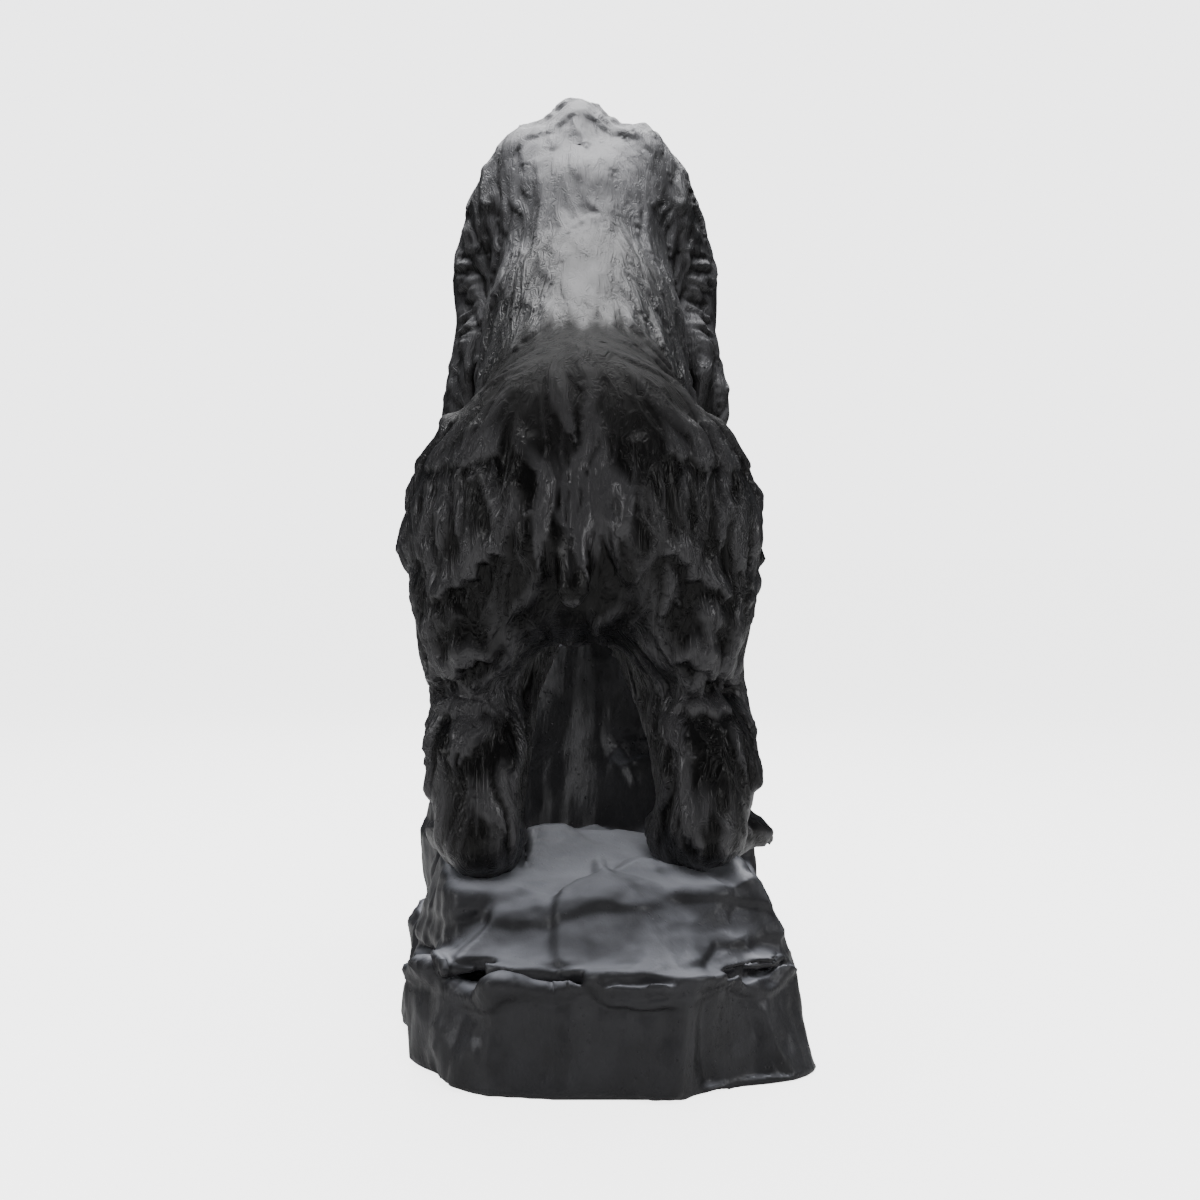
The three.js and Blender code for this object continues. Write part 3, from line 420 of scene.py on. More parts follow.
@dataclass
class Skin:
    """A casting's skin: its points, their normals and the lie of the fur on it."""

    CELL: ClassVar[float] = 0.03
    OVERLAP: ClassVar[float] = 1.15
    TURNED_AWAY: ClassVar[float] = 0.25
    STRAND_LENGTH: ClassVar[float] = 0.12
    STRAND_WIDTH: ClassVar[float] = 0.03

    places: np.ndarray
    normals: np.ndarray
    fall: np.ndarray
    size: np.ndarray
    tree: kdtree.KDTree

    def nearest(self, points: np.ndarray) -> np.ndarray:
        """Finds the skin point nearest to each of some points.

        Args:
            points: The points, one row each.

        Returns:
            The numbers of the skin points.
        """
        return np.array([self.tree.find(point)[1] for point in points.tolist()])

    def plant(self, layer: LockLayer, area: float) -> np.ndarray:
        """Spreads the roots of a layer's locks, closer where the locks are small.

        Args:
            layer: The layer.
            area: The skin's whole area.

        Returns:
            The numbers of the skin points that bear a lock.
        """
        rng = np.random.default_rng(layer.seed)
        bed = layer.BED_SHARE * layer.length * self.size[:, 0] * layer.width * self.size[:, 1]
        wanted = layer.cover * area / len(self.places) / bed
        chance = np.minimum(layer.TRIES * wanted, 1)
        tries = np.nonzero(rng.random(len(self.places)) < chance)[0]
        rng.shuffle(tries)
        gap = layer.SPACING * np.sqrt(bed / layer.cover)
        planted: dict[tuple[int, int, int], list[tuple[float, float, float]]] = {}
        kept = []
        for index in tries.tolist():
            x, y, z = self.places[index].tolist()
            far = gap[index] ** 2
            i, j, k = int(x // self.CELL), int(y // self.CELL), int(z // self.CELL)
            cells = int(gap[index] // self.CELL) + 1
            span = range(-cells, cells + 1)
            crowded = any(
                (x - p[0]) ** 2 + (y - p[1]) ** 2 + (z - p[2]) ** 2 < far
                for di in span
                for dj in span
                for dk in span
                for p in planted.get((i + di, j + dj, k + dk), ())
            )
            if not crowded:
                planted.setdefault((i, j, k), []).append((x, y, z))
                kept.append(index)
        return np.array(kept)

    def raise_locks(
        self, layer: LockLayer, area: float
    ) -> tuple[np.ndarray, np.ndarray, np.ndarray]:
        """Lays a layer of locks over the skin, each following the fall of the fur.

        Args:
            layer: The layer.
            area: The skin's whole area.

        Returns:
            How high each skin point is raised, its place on its lock (along, across, which), and
            how near the lock's middle it lies, from 0 to 1.
        """
        rng = np.random.default_rng(layer.seed + 100)
        roots = self.plant(layer, area)
        count, steps = len(roots), layer.steps
        length = layer.length * self.size[roots, 0] * rng.uniform(*layer.LENGTHS, count)
        width = layer.width * self.size[roots, 1] * rng.uniform(*layer.WIDTHS, count)
        height = layer.height * self.size[roots, 2] * rng.uniform(*layer.HEIGHTS, count)
        turn = rng.normal(0, layer.TURN, count)
        sway = rng.normal(0, layer.sway, count)
        phase = rng.uniform(0, math.pi, count)
        label = rng.random(count)
        at = self.places[roots].copy()
        spine, ways, faces = [], [], []
        for step in range(steps + 1):
            near = self.nearest(at)
            normal = self.normals[near]
            at = at - normal * ((at - self.places[near]) * normal).sum(axis=1, keepdims=True)
            angle = (turn + sway * np.sin(1.6 * math.pi * step / steps + phase))[:, None]
            across = np.cross(normal, self.fall[near])
            way = unit(self.fall[near] * np.cos(angle) + across * np.sin(angle))
            spine.append(at)
            ways.append(way)
            faces.append(normal)
            at = at + way * (length / steps)[:, None]
        raised = np.zeros(len(self.places))
        comb = np.zeros((len(self.places), 3))
        middle = np.zeros(len(self.places))
        for step in range(steps + 1):
            half_step = 0.5 * length / steps
            share = step / steps
            half = 0.5 * width * layer.taper(share)
            reach = np.sqrt(half**2 + half_step**2) * self.OVERLAP
            found = [
                [hit[1] for hit in self.tree.find_range(centre, radius)]
                for centre, radius in zip(spine[step].tolist(), reach.tolist())
            ]
            lock = np.repeat(np.arange(count), [len(hits) for hits in found])
            if not len(lock):
                continue
            point = np.fromiter((i for hits in found for i in hits), int, len(lock))
            offset = self.places[point] - spine[step][lock]
            along = (offset * ways[step][lock]).sum(axis=1)
            side = np.cross(faces[step][lock], ways[step][lock])
            across = (offset * side).sum(axis=1) / half[lock]
            agree = (self.normals[point] * faces[step][lock]).sum(axis=1)
            inside = np.abs(along) < self.OVERLAP * half_step[lock]
            inside &= (np.abs(across) < 1) & (agree > self.TURNED_AWAY)
            point, lock, along, across = point[inside], lock[inside], along[inside], across[inside]
            run = np.clip(share + along / length[lock], 0, 1)
            profile = layer.profile(height[lock], run, across)
            order = np.argsort(profile)
            point, lock, profile = point[order], lock[order], profile[order]
            run, across = run[order], across[order]
            best = np.full(len(self.places), -1)
            best[point] = np.arange(len(point))
            chosen = best[best >= 0]
            better = profile[chosen] > raised[point[chosen]]
            chosen = chosen[better]
            raised[point[chosen]] = profile[chosen]
            comb[point[chosen], 0] = run[chosen] * length[lock[chosen]] / self.STRAND_LENGTH
            comb[point[chosen], 1] = across[chosen] * width[lock[chosen]] / self.STRAND_WIDTH
            comb[point[chosen], 2] = label[lock[chosen]]
            middle[point[chosen]] = 1 - np.abs(across[chosen])
        return raised, comb, middle


@dataclass
class Casting:
    """One casting: a finely meshed copy of its solid, with relief raised and cut in its skin."""

    WELD: ClassVar[float] = 1e-5
    SHRINK: ClassVar[float] = 0.62
    SWELL: ClassVar[float] = -0.64

    node: str
    material_slot: str
    voxel: float
    smoothing: int
    softening: int
    triangles: int
    material: bpy.types.Material
    name: str = field(init=False)

    def __post_init__(self) -> None:
        """Names the piece after its node."""
        self.name = f"{self.node}_cast"

    def copy_solid(self) -> bpy.types.Object:
        """Copies the solid's mesh, joins its doubled vertices and meshes it finely.

        Returns:
            The new object.
        """
        mesh = bpy.data.meshes.new_from_object(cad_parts[self.node])
        piece = bpy.data.objects.new(self.name, mesh)
        bpy.context.scene.collection.objects.link(piece)
        select_only(piece)
        bm = bmesh.new()
        bm.from_mesh(mesh)
        bmesh.ops.remove_doubles(bm, verts=bm.verts, dist=self.WELD)
        bm.to_mesh(mesh)
        bm.free()
        remesh = piece.modifiers.new("fine", "REMESH")
        remesh.mode = "VOXEL"
        remesh.voxel_size = self.voxel
        bpy.ops.object.modifier_apply(modifier=remesh.name)
        return piece

    @staticmethod
    def smooth(piece: bpy.types.Object, passes: int) -> None:
        """Rounds the facets off without shrinking the form.

        Args:
            piece: The object to smooth.
            passes: How many times it is smoothed and swelled again.
        """
        mesh = piece.data
        places = vertex_array(mesh)
        ends = np.empty(len(mesh.edges) * 2, np.int32)
        mesh.edges.foreach_get("vertices", ends)
        first, second = ends[0::2], ends[1::2]
        count = len(places)
        degree = np.bincount(ends, minlength=count)[:, None]
        for step in range(2 * passes):
            total = np.empty_like(places)
            for axis in range(3):
                total[:, axis] = np.bincount(first, places[second, axis], count)
                total[:, axis] += np.bincount(second, places[first, axis], count)
            pull = Casting.SHRINK if step % 2 == 0 else Casting.SWELL
            places = places + pull * (total / degree - places)
        write_vertices(mesh, places)

    def thin(self, piece: bpy.types.Object) -> None:
        """Takes out the triangles that the relief doesn't need.

        Args:
            piece: The object to thin.
        """
        piece.data.calc_loop_triangles()
        have = len(piece.data.loop_triangles)
        if have > self.triangles:
            select_only(piece)
            fewer = piece.modifiers.new("fewer", "DECIMATE")
            fewer.ratio = self.triangles / have
            bpy.ops.object.modifier_apply(modifier=fewer.name)

    def declare(self, piece: bpy.types.Object) -> None:
        """Shades the piece, gives it its material, hangs it under the root and hides the solid it
        copies.

        Args:
            piece: The finished object.
        """
        piece.data.polygons.foreach_set("use_smooth", [True] * len(piece.data.polygons))
        piece.data.materials.clear()
        piece.data.materials.append(self.material)
        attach(piece, "root")
        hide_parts(self.node)
        piece.data.calc_loop_triangles()
        LOG.info("%s: %d triangles", piece.name, len(piece.data.loop_triangles))

    def carve(self, piece: bpy.types.Object) -> None:
        """Carves the relief; each casting has its own.

        Args:
            piece: The object to carve.
        """
        raise NotImplementedError

    def build(self) -> bpy.types.Object:
        """Builds the casting.

        Returns:
            The finished object.
        """
        piece = self.copy_solid()
        self.smooth(piece, self.smoothing)
        self.carve(piece)
        self.smooth(piece, self.softening)
        self.thin(piece)
        self.declare(piece)
        return piece


@dataclass(frozen=True)
class PaintedLightAndMattGuide:
    """Where pale light is painted on the back and where the rump is matt and painted with shade:
    each range in thousandths of the bear's height.
    """

    lit_back: tuple[float, float] = (108, 165)
    matt_and_shaded: tuple[float, float] = (95, 190)
    matt_up: tuple[float, float] = (440, 560)
    middle: tuple[float, float] = (60, 140)
    shoulders: tuple[float, float] = (300, 470)
    waves: tuple[tuple[float, float, float], ...] = ((14, 0.23, 1), (9, 0.61, 0))
    lit_back_sweep: float = 0.55
    matt_sweep: float = 0.3
    widens_from: float = 250
    widens_by: float = 0.08
    middle_share: float = 0.5
    before_shoulders: float = 0.4
    at_shoulders: float = 1.6
    all_over: float = 0.06
    matt_back: float = 0.34

    def read(self, places: np.ndarray, where: FigurePlace) -> np.ndarray:
        """Finds where pale light is painted on the back, and where the rump is matt and painted
        dark as shade.

        Args:
            places: The skin's points.
            where: Turns thousandths of the height into places.

        Returns:
            How much pale light is painted and how matt and shaded each point is, from 0 to 1, and
            a zero that fills the row.
        """
        forward = (where.tail_y - places[:, 1]) / where.length(1)
        across = np.abs(places[:, 0] - where.middle_x) / where.length(1)
        up = (places[:, 2] - where.sole_z) / where.length(1)
        ragged = sum(size * np.sin(across * rate + at) for size, rate, at in self.waves)
        # Painted pale light on the back, rising from its start toward the head.
        lit_back = ease(*self.lit_back, forward + ragged - self.lit_back_sweep * across)
        wider = self.widens_by * np.maximum(forward - self.widens_from, 0)
        middle = 1 - ease(*self.middle, across - wider)
        shoulders = self.before_shoulders + self.at_shoulders * ease(*self.shoulders, forward)
        # Matt rump, which is also painted dark as shade on its top.
        matt_and_shaded = 1 - ease(*self.matt_and_shaded, forward + ragged - self.matt_sweep * across)
        painted_light_and_matt = np.zeros_like(places)
        strip = 1 - self.middle_share + self.middle_share * middle
        # The rubbed share here is painted pale light on the back, strongest at the shoulders.
        rubbed = (1 - self.all_over) * lit_back * strip * shoulders
        painted_light_and_matt[:, 0] = self.all_over + rubbed
        # Matt share: the rump top painted dark as shade, and a little on the painted light of the
        # back.
        painted_light_and_matt[:, 1] = np.maximum(matt_and_shaded * ease(*self.matt_up, up), self.matt_back * lit_back)
        return painted_light_and_matt


@dataclass(frozen=True)
class Ring:
    """A ring, or a dot of radius 0, raised in the skin; all in metres."""

    radius: float
    spread: float
    height: float

    def lift(self, far: np.ndarray) -> np.ndarray:
        """Raises it.

        Args:
            far: How far each point is from its middle.

        Returns:
            How far each point is raised, in metres.
        """
        return self.height * np.exp(-(((far - self.radius) / self.spread) ** 2))


@dataclass(frozen=True)
class FaceGuide:
    """The nostrils, eyes and mouth: places in thousandths of the height, reliefs in metres."""

    nostril: tuple[float, float, float] = (10, 961, 874)
    hole: Ring = Ring(0.0, 0.011, -0.011)
    eye: tuple[float, float, float] = (40, 868, 900)
    lids: tuple[Ring, Ring] = (Ring(0.026, 0.006, 0.0045), Ring(0.017, 0.004, -0.004))
    mouth_from: tuple[float, float] = (838, 862)
    mouth_up: float = 841
    mouth_middle: float = 900
    mouth_rise: float = 0.06
    mouth_cut: Ring = Ring(0.0, 0.006, -0.006)

    def lift(self, places: np.ndarray, where: FigurePlace) -> np.ndarray:
        """Carves the nostrils, the lids and the line of the mouth.

        Args:
            places: The skin's points.
            where: Turns thousandths of the height into places.

        Returns:
            How far each point is raised, in metres.
        """
        lift = np.zeros(len(places))
        for side in (1, -1):
            for (across, *rest), rings in ((self.nostril, (self.hole,)), (self.eye, self.lids)):
                middle = np.array(where.point(side * across, *rest))
                far = np.linalg.norm(places - middle, axis=1)
                for ring in rings:
                    lift += ring.lift(far)
        front = where.tail_y - places[:, 1]
        head = ease(*(where.length(end) for end in self.mouth_from), front)
        rise = self.mouth_rise * (front - where.length(self.mouth_middle))
        line = where.sole_z + where.length(self.mouth_up) + rise
        return lift + head * self.mouth_cut.lift(places[:, 2] - line)


@dataclass
class BearCasting(Casting):
    """The figure: its solid with long locks of fur in two sizes carved over it, and its face."""

    fur: FurField | None = None
    clumps: LockLayer = LockLayer(1.6, 2.3, 1.05, 1.8, 0.45, 11)
    locks: LockLayer = LockLayer(1.35, 0.95, 0.42, 2.2, 0.32, 12)
    folds: tuple[Fold, ...] = ()
    # Where light and shade are painted on the patina, and where it is matt.
    painted_light_and_matt: PaintedLightAndMattGuide = PaintedLightAndMattGuide()
    face: FaceGuide = FaceGuide()
    deepest: float = 0.016
    clump_level: float = 0.42
    lock_level: float = 0.4
    crest_span: float = 1.6

    def carve(self, piece: bpy.types.Object) -> None:
        """Raises every lock in the skin and stores where each point lies on its lock.

        Args:
            piece: The object to carve.
        """
        mesh = piece.data
        places, normals = vertex_array(mesh), vertex_array(mesh, "normal")
        fall, size = self.fur.read(places, normals)
        skin = Skin(places, normals, fall, size, tree_of(places))
        area = sum(polygon.area for polygon in mesh.polygons)
        big, _, _ = skin.raise_locks(self.clumps, area)
        small, comb, middle = skin.raise_locks(self.locks, area)
        total = big + small
        level = self.clump_level * self.clumps.height + self.lock_level * self.locks.height
        level = level * size[:, 2]
        for fold in self.folds:
            total += fold.lift(places, self.fur.where)
        lift = total - level + self.face.lift(places, self.fur.where)
        write_vertices(mesh, places + normals * lift[:, None])
        span = np.maximum(self.crest_span * size[:, 2], 1e-4)
        lie = np.zeros_like(places)
        lie[:, 0] = np.clip(0.5 + (total - level) / span, 0, 1)
        lie[:, 1] = np.clip(size[:, 2] / self.deepest, 0, 1)
        lie[:, 2] = middle
        write_attribute(mesh, "comb", comb)
        write_attribute(mesh, "lie", lie)
        # Stores the painted back light, and the matt finish with its painted shade.
        write_attribute(mesh, "painted_light_and_matt", self.painted_light_and_matt.read(places, self.fur.where))


class SeamKind(Enum):
    """What a seam in the rock is."""

    CRACK = "crack"
    RIDGE = "ridge"
    LEDGE = "ledge"


@dataclass(frozen=True)
class Seam:
    """A crack, a ridge or the edge of a ledge, as places along it in metres."""

    kind: SeamKind
    depth: float
    width: float
    course: tuple[tuple[float, float, float], ...]

    METRIC: ClassVar[tuple[float, float, float]] = (1.0, 0.35, 1.0)
    SEEN: ClassVar[tuple[float, float]] = (-0.1, 0.25)
    UPPER_SHARE: ClassVar[float] = 0.3
    STEP: ClassVar[float] = 0.006


SEAMS = (
    Seam(SeamKind.LEDGE, 0.007, 0.05, ((0.33, 0.7, 0.27), (0.21, 0.77, 0.3), (0.14, 0.77, 0.29),
                                       (0.07, 0.78, 0.3), (-0.02, 0.79, 0.33))),
    Seam(SeamKind.LEDGE, 0.008, 0.045, ((-0.06, 0.78, 0.33), (-0.14, 0.75, 0.33),
                                        (-0.26, 0.75, 0.33), (-0.34, 0.7, 0.31))),
    Seam(SeamKind.RIDGE, 0.011, 0.013, ((-0.02, 0.63, 0.37), (-0.03, 0.7, 0.35),
                                        (-0.045, 0.78, 0.33), (-0.06, 0.8, 0.27))),
    Seam(SeamKind.LEDGE, 0.006, 0.04, ((-0.05, 0.62, 0.36), (-0.13, 0.63, 0.36),
                                       (-0.21, 0.66, 0.37), (-0.28, 0.69, 0.36))),
    Seam(SeamKind.LEDGE, 0.009, 0.05, ((0.4, 0.6, 0.17), (0.26, 0.82, 0.18), (0.23, 0.87, 0.15),
                                       (0.18, 0.93, 0.16), (0.15, 0.86, 0.18), (0.06, 0.84, 0.2),
                                       (-0.07, 0.92, 0.22), (-0.13, 0.82, 0.235),
                                       (-0.21, 0.8, 0.24), (-0.24, 0.8, 0.265),
                                       (-0.3, 0.77, 0.255), (-0.4, 0.7, 0.25))),
    Seam(SeamKind.LEDGE, 0.004, 0.035, ((0.27, 0.77, 0.25), (0.17, 0.78, 0.235),
                                        (0.05, 0.81, 0.22), (-0.05, 0.86, 0.21))),
    Seam(SeamKind.RIDGE, 0.013, 0.03, ((0.255, 0.83, 0.18), (0.26, 0.85, 0.1), (0.26, 0.87, 0.0))),
    Seam(SeamKind.RIDGE, 0.012, 0.028, ((-0.12, 0.84, 0.22), (-0.11, 0.96, 0.13),
                                        (-0.12, 0.96, 0.0))),
    Seam(SeamKind.CRACK, 0.012, 0.018, ((-0.21, 0.79, 0.25), (-0.215, 0.92, 0.19),
                                        (-0.21, 0.91, 0.08), (-0.23, 0.9, 0.0))),
    Seam(SeamKind.RIDGE, 0.014, 0.035, ((-0.03, 0.24, 0.8), (-0.03, 0.23, 0.66),
                                        (-0.02, 0.24, 0.53), (-0.03, 0.26, 0.38))),
    Seam(SeamKind.LEDGE, 0.006, 0.03, ((0.05, 0.22, 0.72), (0.05, 0.22, 0.64),
                                       (0.07, 0.22, 0.56), (0.12, 0.22, 0.52))),
    Seam(SeamKind.CRACK, 0.006, 0.006, ((-0.04, 0.24, 0.58), (-0.09, 0.24, 0.583),
                                        (-0.14, 0.25, 0.578))),
    Seam(SeamKind.CRACK, 0.011, 0.012, ((-0.065, 0.24, 0.56), (-0.08, 0.25, 0.535),
                                        (-0.1, 0.26, 0.49))),
)


@dataclass
class RockCasting(Casting):
    """The crag: its solid with broken, chiselled and pitted faces."""

    seams: tuple[Seam, ...] = SEAMS
    slabs: int = 90
    seed: int = 5
    slab_step: float = 0.009
    slab_tilt: float = 0.045
    slab_join: float = 0.02
    slot_z: float = 0.195
    slot_reach: float = 0.03
    slot_y: tuple[float, float] = (0.62, 0.74)
    slot_fill: tuple[float, float] = (0.036, 0.012)
    turned: tuple[float, float] = (0.3, 0.8)
    foot: float = 0.02
    drawn: float = 0.0032
    rib: float = 0.016
    rib_level: float = 0.2
    crumb: float = 0.0018
    drawn_scale: tuple[float, float] = (34, 5)
    rib_scale: tuple[float, float] = (13, 2.2)
    crumb_scale: float = 22
    bend: float = 0.03
    bend_rate: float = 17
    slab_squash: float = 0.45

    def carve(self, piece: bpy.types.Object) -> None:
        """Breaks the rock's faces into slabs, cuts its seams and draws the tool marks.

        Args:
            piece: The object to carve.
        """
        mesh = piece.data
        places, normals = vertex_array(mesh), vertex_array(mesh, "normal")
        lift = self.broken(places) + self.grained(places, normals)
        for seam in self.seams:
            lift += self.seam_lift(seam, places, normals)
        slot = np.exp(-(((places[:, 2] - self.slot_z) / self.slot_reach) ** 2))
        slot = slot * ease(*self.slot_y, places[:, 1])
        floor, ceiling = self.slot_fill
        facing = normals[:, 2]
        lift += slot * (floor * ease(*self.turned, facing) + ceiling * ease(*self.turned, -facing))
        level = ease(0.0, self.foot, places[:, 2])
        moved = places + normals * (lift * level)[:, None]
        moved[:, 2] = np.maximum(moved[:, 2], 0)
        write_vertices(mesh, moved)

    def broken(self, places: np.ndarray) -> np.ndarray:
        """Tilts and steps patches of the surface, like slabs that broke away.

        Args:
            places: The surface's points.

        Returns:
            How far each point is raised, in metres.
        """
        rng = np.random.default_rng(self.seed)
        centres = places[rng.integers(0, len(places), self.slabs)]
        step = rng.uniform(-0.5, 0.5, self.slabs)
        tilt = rng.normal(0, 1, (self.slabs, 3))
        waves = np.sin(places[:, [1, 2, 0]] * self.bend_rate + 2)
        bent = places + self.bend * waves * np.array([1, 1, 0.6])
        squash = np.array([1, 1, self.slab_squash])
        gaps = np.sqrt((bent[:, None, :] - centres[None]) ** 2 @ squash)
        pair = np.argpartition(gaps, 1, axis=1)[:, :2]
        near = np.take_along_axis(gaps, pair, axis=1)
        swap = near[:, 0] > near[:, 1]
        pair[swap], near[swap] = pair[swap][:, ::-1], near[swap][:, ::-1]

        def height(which: np.ndarray) -> np.ndarray:
            """Reads how high a slab lies.

            Args:
                which: The slab that each point is on.

            Returns:
                Its height there, in metres.
            """
            slope = ((bent - centres[which]) * tilt[which]).sum(axis=1)
            return self.slab_step * step[which] + self.slab_tilt * slope

        blend = 0.5 * (1 - ease(0.0, self.slab_join, near[:, 1] - near[:, 0]))
        return height(pair[:, 0]) * (1 - blend) + height(pair[:, 1]) * blend

    def grained(self, places: np.ndarray, normals: np.ndarray) -> np.ndarray:
        """Roughens the faces: drawn down the steep ones, rounder on the level ones.

        Args:
            places: The surface's points.
            normals: Their normals.

        Returns:
            How far each point is raised, in metres.
        """
        steep = 1 - np.abs(normals[:, 2])
        lift = np.empty(len(places))
        fine, fine_down = self.drawn_scale
        wide, wide_down = self.rib_scale
        ball = self.crumb_scale
        for i, (x, y, z) in enumerate(places.tolist()):
            drawn = noise.noise(Vector((x * fine, y * fine, z * fine_down)))
            rib = abs(noise.noise(Vector((x * wide + 0.8 * z, y * wide, z * wide_down + 7))))
            round_ = noise.fractal(Vector((x * ball, y * ball, z * ball)), 0.9, 2.0, 3)
            upright = self.drawn * drawn + self.rib * (rib - self.rib_level)
            lift[i] = upright * steep[i] + self.crumb * round_
        return lift

    @staticmethod
    def seam_lift(seam: Seam, places: np.ndarray, normals: np.ndarray) -> np.ndarray:
        """Cuts or raises one seam.

        Args:
            seam: The seam.
            places: The surface's points.
            normals: Their normals.

        Returns:
            How far each point is raised, in metres.
        """
        metric = np.array(seam.METRIC)
        course = np.array(seam.course) * metric
        points = places * metric
        nearest = np.full(len(places), 9.0)
        above = np.zeros(len(places))
        for start, end in zip(course[:-1], course[1:]):
            run = end - start
            share = np.clip((points - start) @ run / (run @ run), 0, 1)
            offset = points - (start + share[:, None] * run)
            far = np.linalg.norm(offset, axis=1)
            closer = far < nearest
            nearest[closer] = far[closer]
            up = np.cross(run / np.linalg.norm(run), (0, 1, 0))
            up = up if abs(up[2]) < 1e-6 or up[2] > 0 else -up
            above[closer] = (offset @ up)[closer]
        seen = ease(*seam.SEEN, normals[:, 1] + 0.6 * normals[:, 2])
        shape = np.exp(-((nearest / seam.width) ** 2)) * seen
        if seam.kind is SeamKind.CRACK:
            return -seam.depth * shape
        if seam.kind is SeamKind.RIDGE:
            return seam.depth * shape
        share = np.where(above > 0, seam.UPPER_SHARE, 1.0)
        return seam.depth * shape * share * np.tanh(above / seam.STEP)


class Socket(Enum):
    """The socket types that the shader groups use."""

    VALUE = "NodeSocketFloat"
    VECTOR = "NodeSocketVector"


WHOLE = (0.0, 1.0)


@dataclass
class Wiring:
    """Adds and links the nodes of one shader tree."""

    tree: bpy.types.NodeTree

    def node(self, kind: str, **settings: object) -> bpy.types.Node:
        """Adds a node.

        Args:
            kind: The node's type.
            settings: Its properties, by name.

        Returns:
            The node.
        """
        node = self.tree.nodes.new(kind)
        for name, value in settings.items():
            setattr(node, name, value)
        return node

    def feed(
        self, socket: bpy.types.NodeSocket, source: bpy.types.NodeSocket | float | tuple
    ) -> None:
        """Links a socket to its source, or sets its value.

        Args:
            socket: The input.
            source: The output that feeds it, or a number or colour.
        """
        if isinstance(source, bpy.types.NodeSocket):
            self.tree.links.new(source, socket)
        else:
            socket.default_value = source

    def place(self) -> bpy.types.NodeSocket:
        """Adds the piece's own coordinates."""
        return self.node("ShaderNodeTexCoord").outputs["Object"]

    def parts(self, source: bpy.types.NodeSocket) -> bpy.types.bpy_prop_collection:
        """Parts a vector into its X, Y and Z.

        Args:
            source: The vector.

        Returns:
            The sockets of its parts, by name.
        """
        node = self.node("ShaderNodeSeparateXYZ")
        self.feed(node.inputs[0], source)
        return node.outputs

    def attribute(self, name: str) -> bpy.types.bpy_prop_collection:
        """Reads an attribute of the piece, parted into X, Y and Z."""
        node = self.node("ShaderNodeAttribute", attribute_name=name)
        return self.parts(node.outputs["Vector"])

    def mapped(
        self,
        source: bpy.types.NodeSocket,
        ends: tuple[float, float],
        to: tuple[float, float] = WHOLE,
    ) -> bpy.types.NodeSocket:
        """Maps a value from one range to another.

        Args:
            source: The value.
            ends: The range that it is read over.
            to: The range that it is given.

        Returns:
            The mapped value's socket.
        """
        node = self.node("ShaderNodeMapRange")
        node.inputs["From Min"].default_value, node.inputs["From Max"].default_value = ends
        node.inputs["To Min"].default_value, node.inputs["To Max"].default_value = to
        self.feed(node.inputs["Value"], source)
        return node.outputs["Result"]

    def math(
        self, operation: str, first: bpy.types.NodeSocket, second: bpy.types.NodeSocket | float
    ) -> bpy.types.NodeSocket:
        """Combines two values.

        Args:
            operation: The Math node's operation.
            first: The first value.
            second: The second, as a socket or a number.

        Returns:
            The result's socket.
        """
        node = self.node("ShaderNodeMath", operation=operation)
        self.feed(node.inputs[0], first)
        self.feed(node.inputs[1], second)
        return node.outputs[0]

    def noise(
        self,
        scale: bpy.types.NodeSocket | float,
        detail: float,
        at: bpy.types.NodeSocket,
    ) -> bpy.types.NodeSocket:
        """Adds a noise texture.

        Args:
            scale: Its scale, as a socket or a number.
            detail: Its detail.
            at: The coordinates that it reads.

        Returns:
            Its value's socket.
        """
        node = self.node("ShaderNodeTexNoise")
        self.feed(node.inputs["Scale"], scale)
        node.inputs["Detail"].default_value = detail
        self.feed(node.inputs["Vector"], at)
        return node.outputs["Fac"]

    def bump(
        self,
        depth: float,
        strength: bpy.types.NodeSocket,
        height: bpy.types.NodeSocket,
        base: bpy.types.NodeSocket | None = None,
    ) -> bpy.types.NodeSocket:
        """Raises a relief on a normal.

        Args:
            depth: How deep it is, in metres.
            strength: How much of it is used.
            height: The relief.
            base: The normal that it is raised on; the surface's own where there is none.

        Returns:
            The new normal's socket.
        """
        node = self.node("ShaderNodeBump")
        node.inputs["Distance"].default_value = depth
        self.feed(node.inputs["Strength"], strength)
        self.feed(node.inputs["Height"], height)
        if base is not None:
            self.feed(node.inputs["Normal"], base)
        return node.outputs["Normal"]

    def mix(
        self,
        share: bpy.types.NodeSocket,
        first: bpy.types.NodeSocket | tuple[float, float, float],
        second: bpy.types.NodeSocket | tuple[float, float, float],
    ) -> bpy.types.NodeSocket:
        """Mixes two colours.

        Args:
            share: How much of the second there is.
            first: The first colour, as a socket or as red, green and blue.
            second: The second.

        Returns:
            The mixed colour's socket.
        """
        node = self.node("ShaderNodeMix", data_type="RGBA")
        self.feed(node.inputs["Factor"], share)
        for name, colour in (("A", first), ("B", second)):
            solid = isinstance(colour, tuple)
            self.feed(node.inputs[name], (*colour, 1) if solid else colour)
        return node.outputs["Result"]


